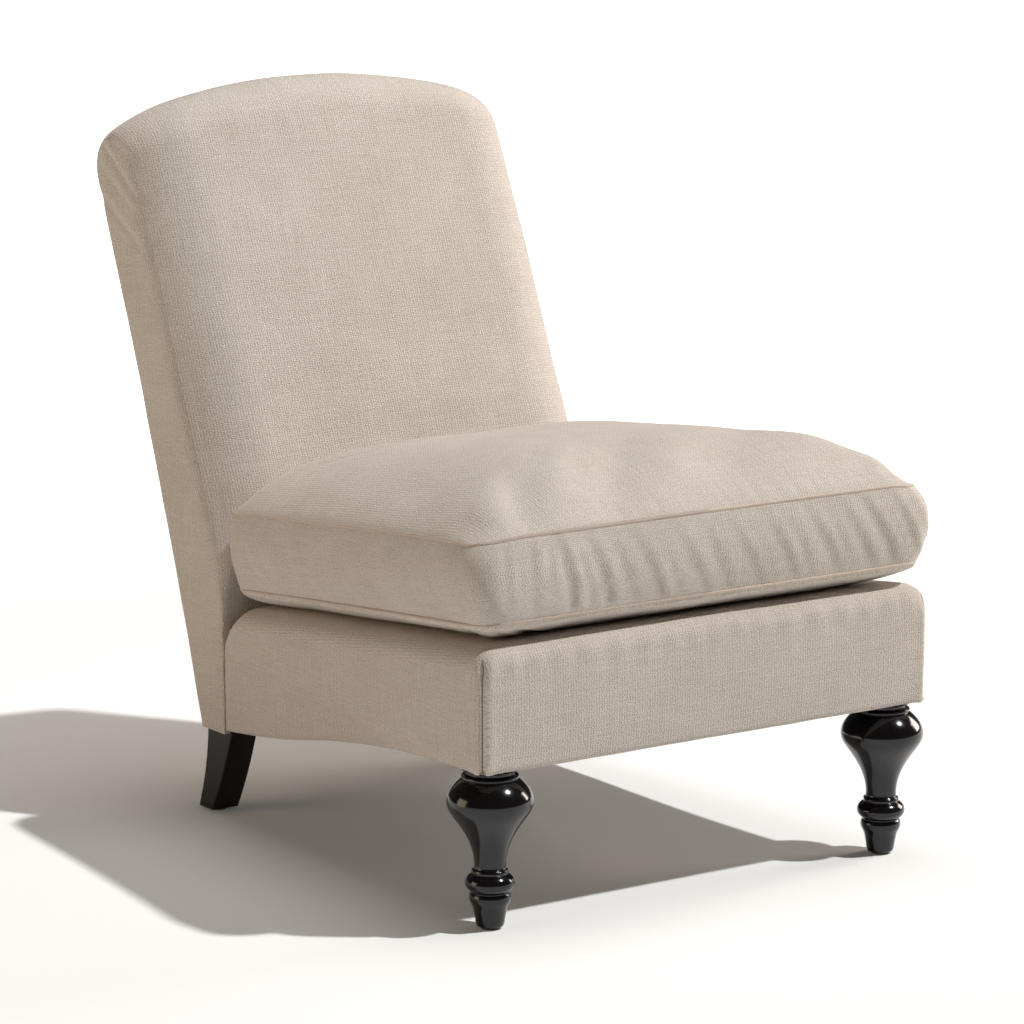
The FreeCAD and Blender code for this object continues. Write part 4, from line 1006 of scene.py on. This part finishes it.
# %% Profile of the leg
# height and radius, from the plate to the floor
leg_profile = [(0.1815, 0.0300), (0.1765, 0.0315), (0.1758, 0.0300), (0.1755, 0.0268), (0.1722, 0.0262),
               (0.1716, 0.0285), (0.1700, 0.0312), (0.1675, 0.0314), (0.1661, 0.0300), (0.1655, 0.0318),
               (0.1600, 0.0382), (0.1540, 0.0432), (0.1470, 0.0467), (0.1400, 0.0475), (0.1335, 0.0460),
               (0.1270, 0.0421), (0.1200, 0.0370), (0.1120, 0.0313), (0.1030, 0.0258), (0.0940, 0.0216),
               (0.0850, 0.0188), (0.0760, 0.0174), (0.0700, 0.0172), (0.0672, 0.0178), (0.0662, 0.0196),
               (0.0640, 0.0204), (0.0618, 0.0200), (0.0610, 0.0212), (0.0580, 0.0250), (0.0545, 0.0270),
               (0.0510, 0.0275), (0.0475, 0.0268), (0.0440, 0.0244), (0.0422, 0.0214), (0.0405, 0.0208),
               (0.0395, 0.0220), (0.0365, 0.0230), (0.0325, 0.0229), (0.0285, 0.0212), (0.0250, 0.0191),
               (0.0200, 0.0180), (0.0120, 0.0165), (0.0060, 0.0156), (0.0040, 0.0150), (0.0026, 0.0138)]


BLANK_RADIUS = 0.03
LEG_X, LEG_Y = 0.271, 0.036 + SHIFT


def turned_leg(name, centre_x, centre_y):
    top, foot = leg_profile[0][0], leg_profile[-1][0]
    bpy.ops.object.select_all(action="DESELECT")
    bpy.ops.mesh.primitive_cylinder_add(vertices=56, radius=BLANK_RADIUS, depth=top - foot,
                                        end_fill_type="NGON",
                                        location=(centre_x, centre_y, (top + foot) / 2))
    leg = bpy.context.object
    leg.name = leg.data.name = name
    bpy.ops.object.transform_apply(location=True, rotation=True, scale=True)
    bpy.ops.object.mode_set(mode="EDIT")
    for height, _ in leg_profile[1:-1]:
        bpy.ops.mesh.select_all(action="SELECT")
        bpy.ops.mesh.bisect(plane_co=(0, 0, height), plane_no=(0, 0, 1))
    shape = bmesh.from_edit_mesh(leg.data)
    for height, radius in leg_profile:
        bpy.ops.mesh.select_all(action="DESELECT")
        for vert in shape.verts:
            vert.select = abs(vert.co.z - height) < 0.00005
        shape.select_flush(True)
        bmesh.update_edit_mesh(leg.data)
        factor = radius / BLANK_RADIUS
        bpy.ops.transform.resize(value=(factor, factor, 1), center_override=(centre_x, centre_y, height))
    bpy.ops.object.mode_set(mode="OBJECT")
    with_modifier(leg, "BEVEL", width=0.0005, segments=2, limit_method="ANGLE",
                  angle_limit=math.radians(40))
    with_modifier(leg, "SUBSURF", levels=1, render_levels=1)
    bpy.ops.object.select_all(action="DESELECT")
    bpy.context.view_layer.objects.active = leg
    leg.select_set(True)
    bpy.ops.object.shade_smooth_by_angle(angle=math.radians(50))
    print(name, len(leg.data.polygons), "faces")
    return leg


for name, centre_x in (("turned_leg_right", LEG_X), ("turned_leg_left", -LEG_X)):
    dress(turned_leg(name, centre_x, LEG_Y), GLOSS, "chair", "ebonised_wood", "front_legs")

# %% [markdown]
# ## Dust cloth
# A thin black cloth closes the underside and hides the webbing. It is cut to the
# seat and tacked along the rails, so it is stretched nearly flat. A simulation has
# nothing to add to a cloth that is held all round, so it is one grid that follows
# the hem with a sag of 1.5 mm, and a modifier gives it its thickness.

# %% Dust cloth under the seat
CLOTH_INSET, CLOTH_REAR, CLOTH_STEPS = 0.012, 0.575, 40
cloth_rows = []
for y in np.linspace(CLOTH_INSET, CLOTH_REAR, CLOTH_STEPS):
    reach = seat_half(y) - CLOTH_INSET
    xs = np.linspace(-reach, reach, CLOTH_STEPS)
    along = (y - CLOTH_INSET) / (CLOTH_REAR - CLOTH_INSET)
    sag = 0.0015 * np.cos(xs / reach * math.pi / 2) * math.sin(along * math.pi)
    level = hem_height(y) - 0.0009 - sag
    cloth_rows.append(np.column_stack([xs, np.full(CLOTH_STEPS, y + SHIFT), level]))
cloth_grid = np.array(cloth_rows)
dust = grids_to_piece("dust_cloth", [flat_map(cloth_grid, 0, 1)])
with_modifier(dust, "SOLIDIFY", thickness=0.0006, offset=0.0)
dress(dust, DUST_CLOTH, "chair", "dust_cloth", "dust_cover")

# %% [markdown]
# ## The pieces that stay as they came
# Rails, posts, bolts and the zip have their right shape in the frame already, and a
# copy modelled by hand could only be less exact, so they only get their finish. The
# posts end in the back legs, whose sawn edges are eased with sandpaper on the real
# chair: a bevel on the welded mesh does that.

# %% Finishes on the frame's own pieces
finishes = {
    SATIN: ["back_post_right", "back_post_left"],
    HARDWOOD: ["crest_rail", "lower_back_rail", "rear_seat_rail", "front_seat_rail", "side_seat_rail_right",
               "side_seat_rail_left", "leg_blocks", "rear_corner_blocks"],
    STEEL: ["leg_bolts"], BRASS: ["leg_inserts", "zip_slider", "zip_pull"],
    GLIDE: ["foot_glides"], NYLON: ["zip_chain", "zip_stops"],
}
for finish, names in finishes.items():
    for name in names:
        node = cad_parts[name]
        node.data.materials.clear()
        node.data.materials.append(finish)
for name in ("back_post_right", "back_post_left"):
    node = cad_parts[name]
    weld = node.modifiers.new("weld", "WELD")
    weld.merge_threshold = 0.00002
    soften = node.modifiers.new("soften", "BEVEL")
    soften.width = 0.0018
    soften.segments = 3
    soften.limit_method = "ANGLE"
    soften.angle_limit = math.radians(40)
print("finished", sum(len(names) for names in finishes.values()), "frame pieces")

# %% [markdown]
# ## Floor and light
# One strong lamp stands high at the right front and throws the chair's shadow to the
# left, as the photograph shows. Three wide, weak windows and a pale sky fill the
# shade. White surroundings could come from more light, but that would bleach the
# linen. So the far floor glows for the camera alone, and so does the sky, while the
# floor near the chair keeps the shadow.

# %% Floor
bpy.ops.object.select_all(action="DESELECT")
bpy.ops.mesh.primitive_plane_add(size=60.0, location=(0, 0, 0))
floor = bpy.context.object
floor.name = "studio_floor"
paint = Finish("studio_floor_paint")
paint.set(Base_Color=(0.88, 0.88, 0.87, 1), Roughness=1.0, Specular_IOR_Level=0.0)
seen = paint.node("ShaderNodeLightPath", {}, {}, "Is Camera Ray")
away = paint.node("ShaderNodeVectorMath", {"operation": "LENGTH"}, {0: paint.place()}, "Value")
distant = ((away - 1.3) * 0.55).clamped()
glow = paint.node("ShaderNodeEmission", {}, {"Strength": seen * (distant * 0.9 + 0.05)})
matt = Term(paint, paint.shader.outputs[0])
paint.plug(paint.output.inputs["Surface"], paint.node("ShaderNodeAddShader", {}, {0: matt, 1: glow}))
floor.data.materials.append(paint.material)
print("floor:", floor.name)

# %% Sky
world = bpy.data.worlds.new("studio_sky")
scene.world = world
world.use_nodes = True
sky = Tree(world.node_tree, "ShaderNodeOutputWorld")
fill = sky.node("ShaderNodeBackground", {}, {"Color": (1.0, 0.9, 0.78, 1), "Strength": 0.06})
white = sky.node("ShaderNodeBackground", {}, {"Color": (1, 1, 1, 1), "Strength": 1.0})
camera_ray = sky.node("ShaderNodeLightPath", {}, {}, "Is Camera Ray")
sky.plug(sky.output.inputs["Surface"],
         sky.node("ShaderNodeMixShader", {}, {0: camera_ray, 1: fill, 2: white}))
print("sky:", world.name)

# %% Lamps
sun = bpy.data.lights.new("key_sun", "SUN")
sun.energy = 2.75
sun.color = (1.0, 0.99, 0.985)
sun.angle = math.radians(2.2)
aimed("key_lamp", sun, (2.15, -1.73, 3.95), (0, 0, 0))

# name, place, target, side in metres, watts, colour
windows = [("right_window", (3.4, -0.4, 1.2), (0, 0, 0.3), 1.4, 62.0, (1.0, 0.88, 0.80)),
           ("left_window", (-3.05, 1.0, 0.8), (0, 0.0, 0.35), 1.6, 21.0, (1.0, 0.76, 0.53)),
           ("top_window", (0.2, 0.2, 3.6), (0, 0, 0.3), 2.0, 30.0, (1.0, 1.0, 1.0))]
for name, place, target, size, power, tint in windows:
    window = bpy.data.lights.new(name, "AREA")
    window.shape = "SQUARE"
    window.size = size
    window.energy = power
    window.color = tint
    aimed(name, window, place, target)
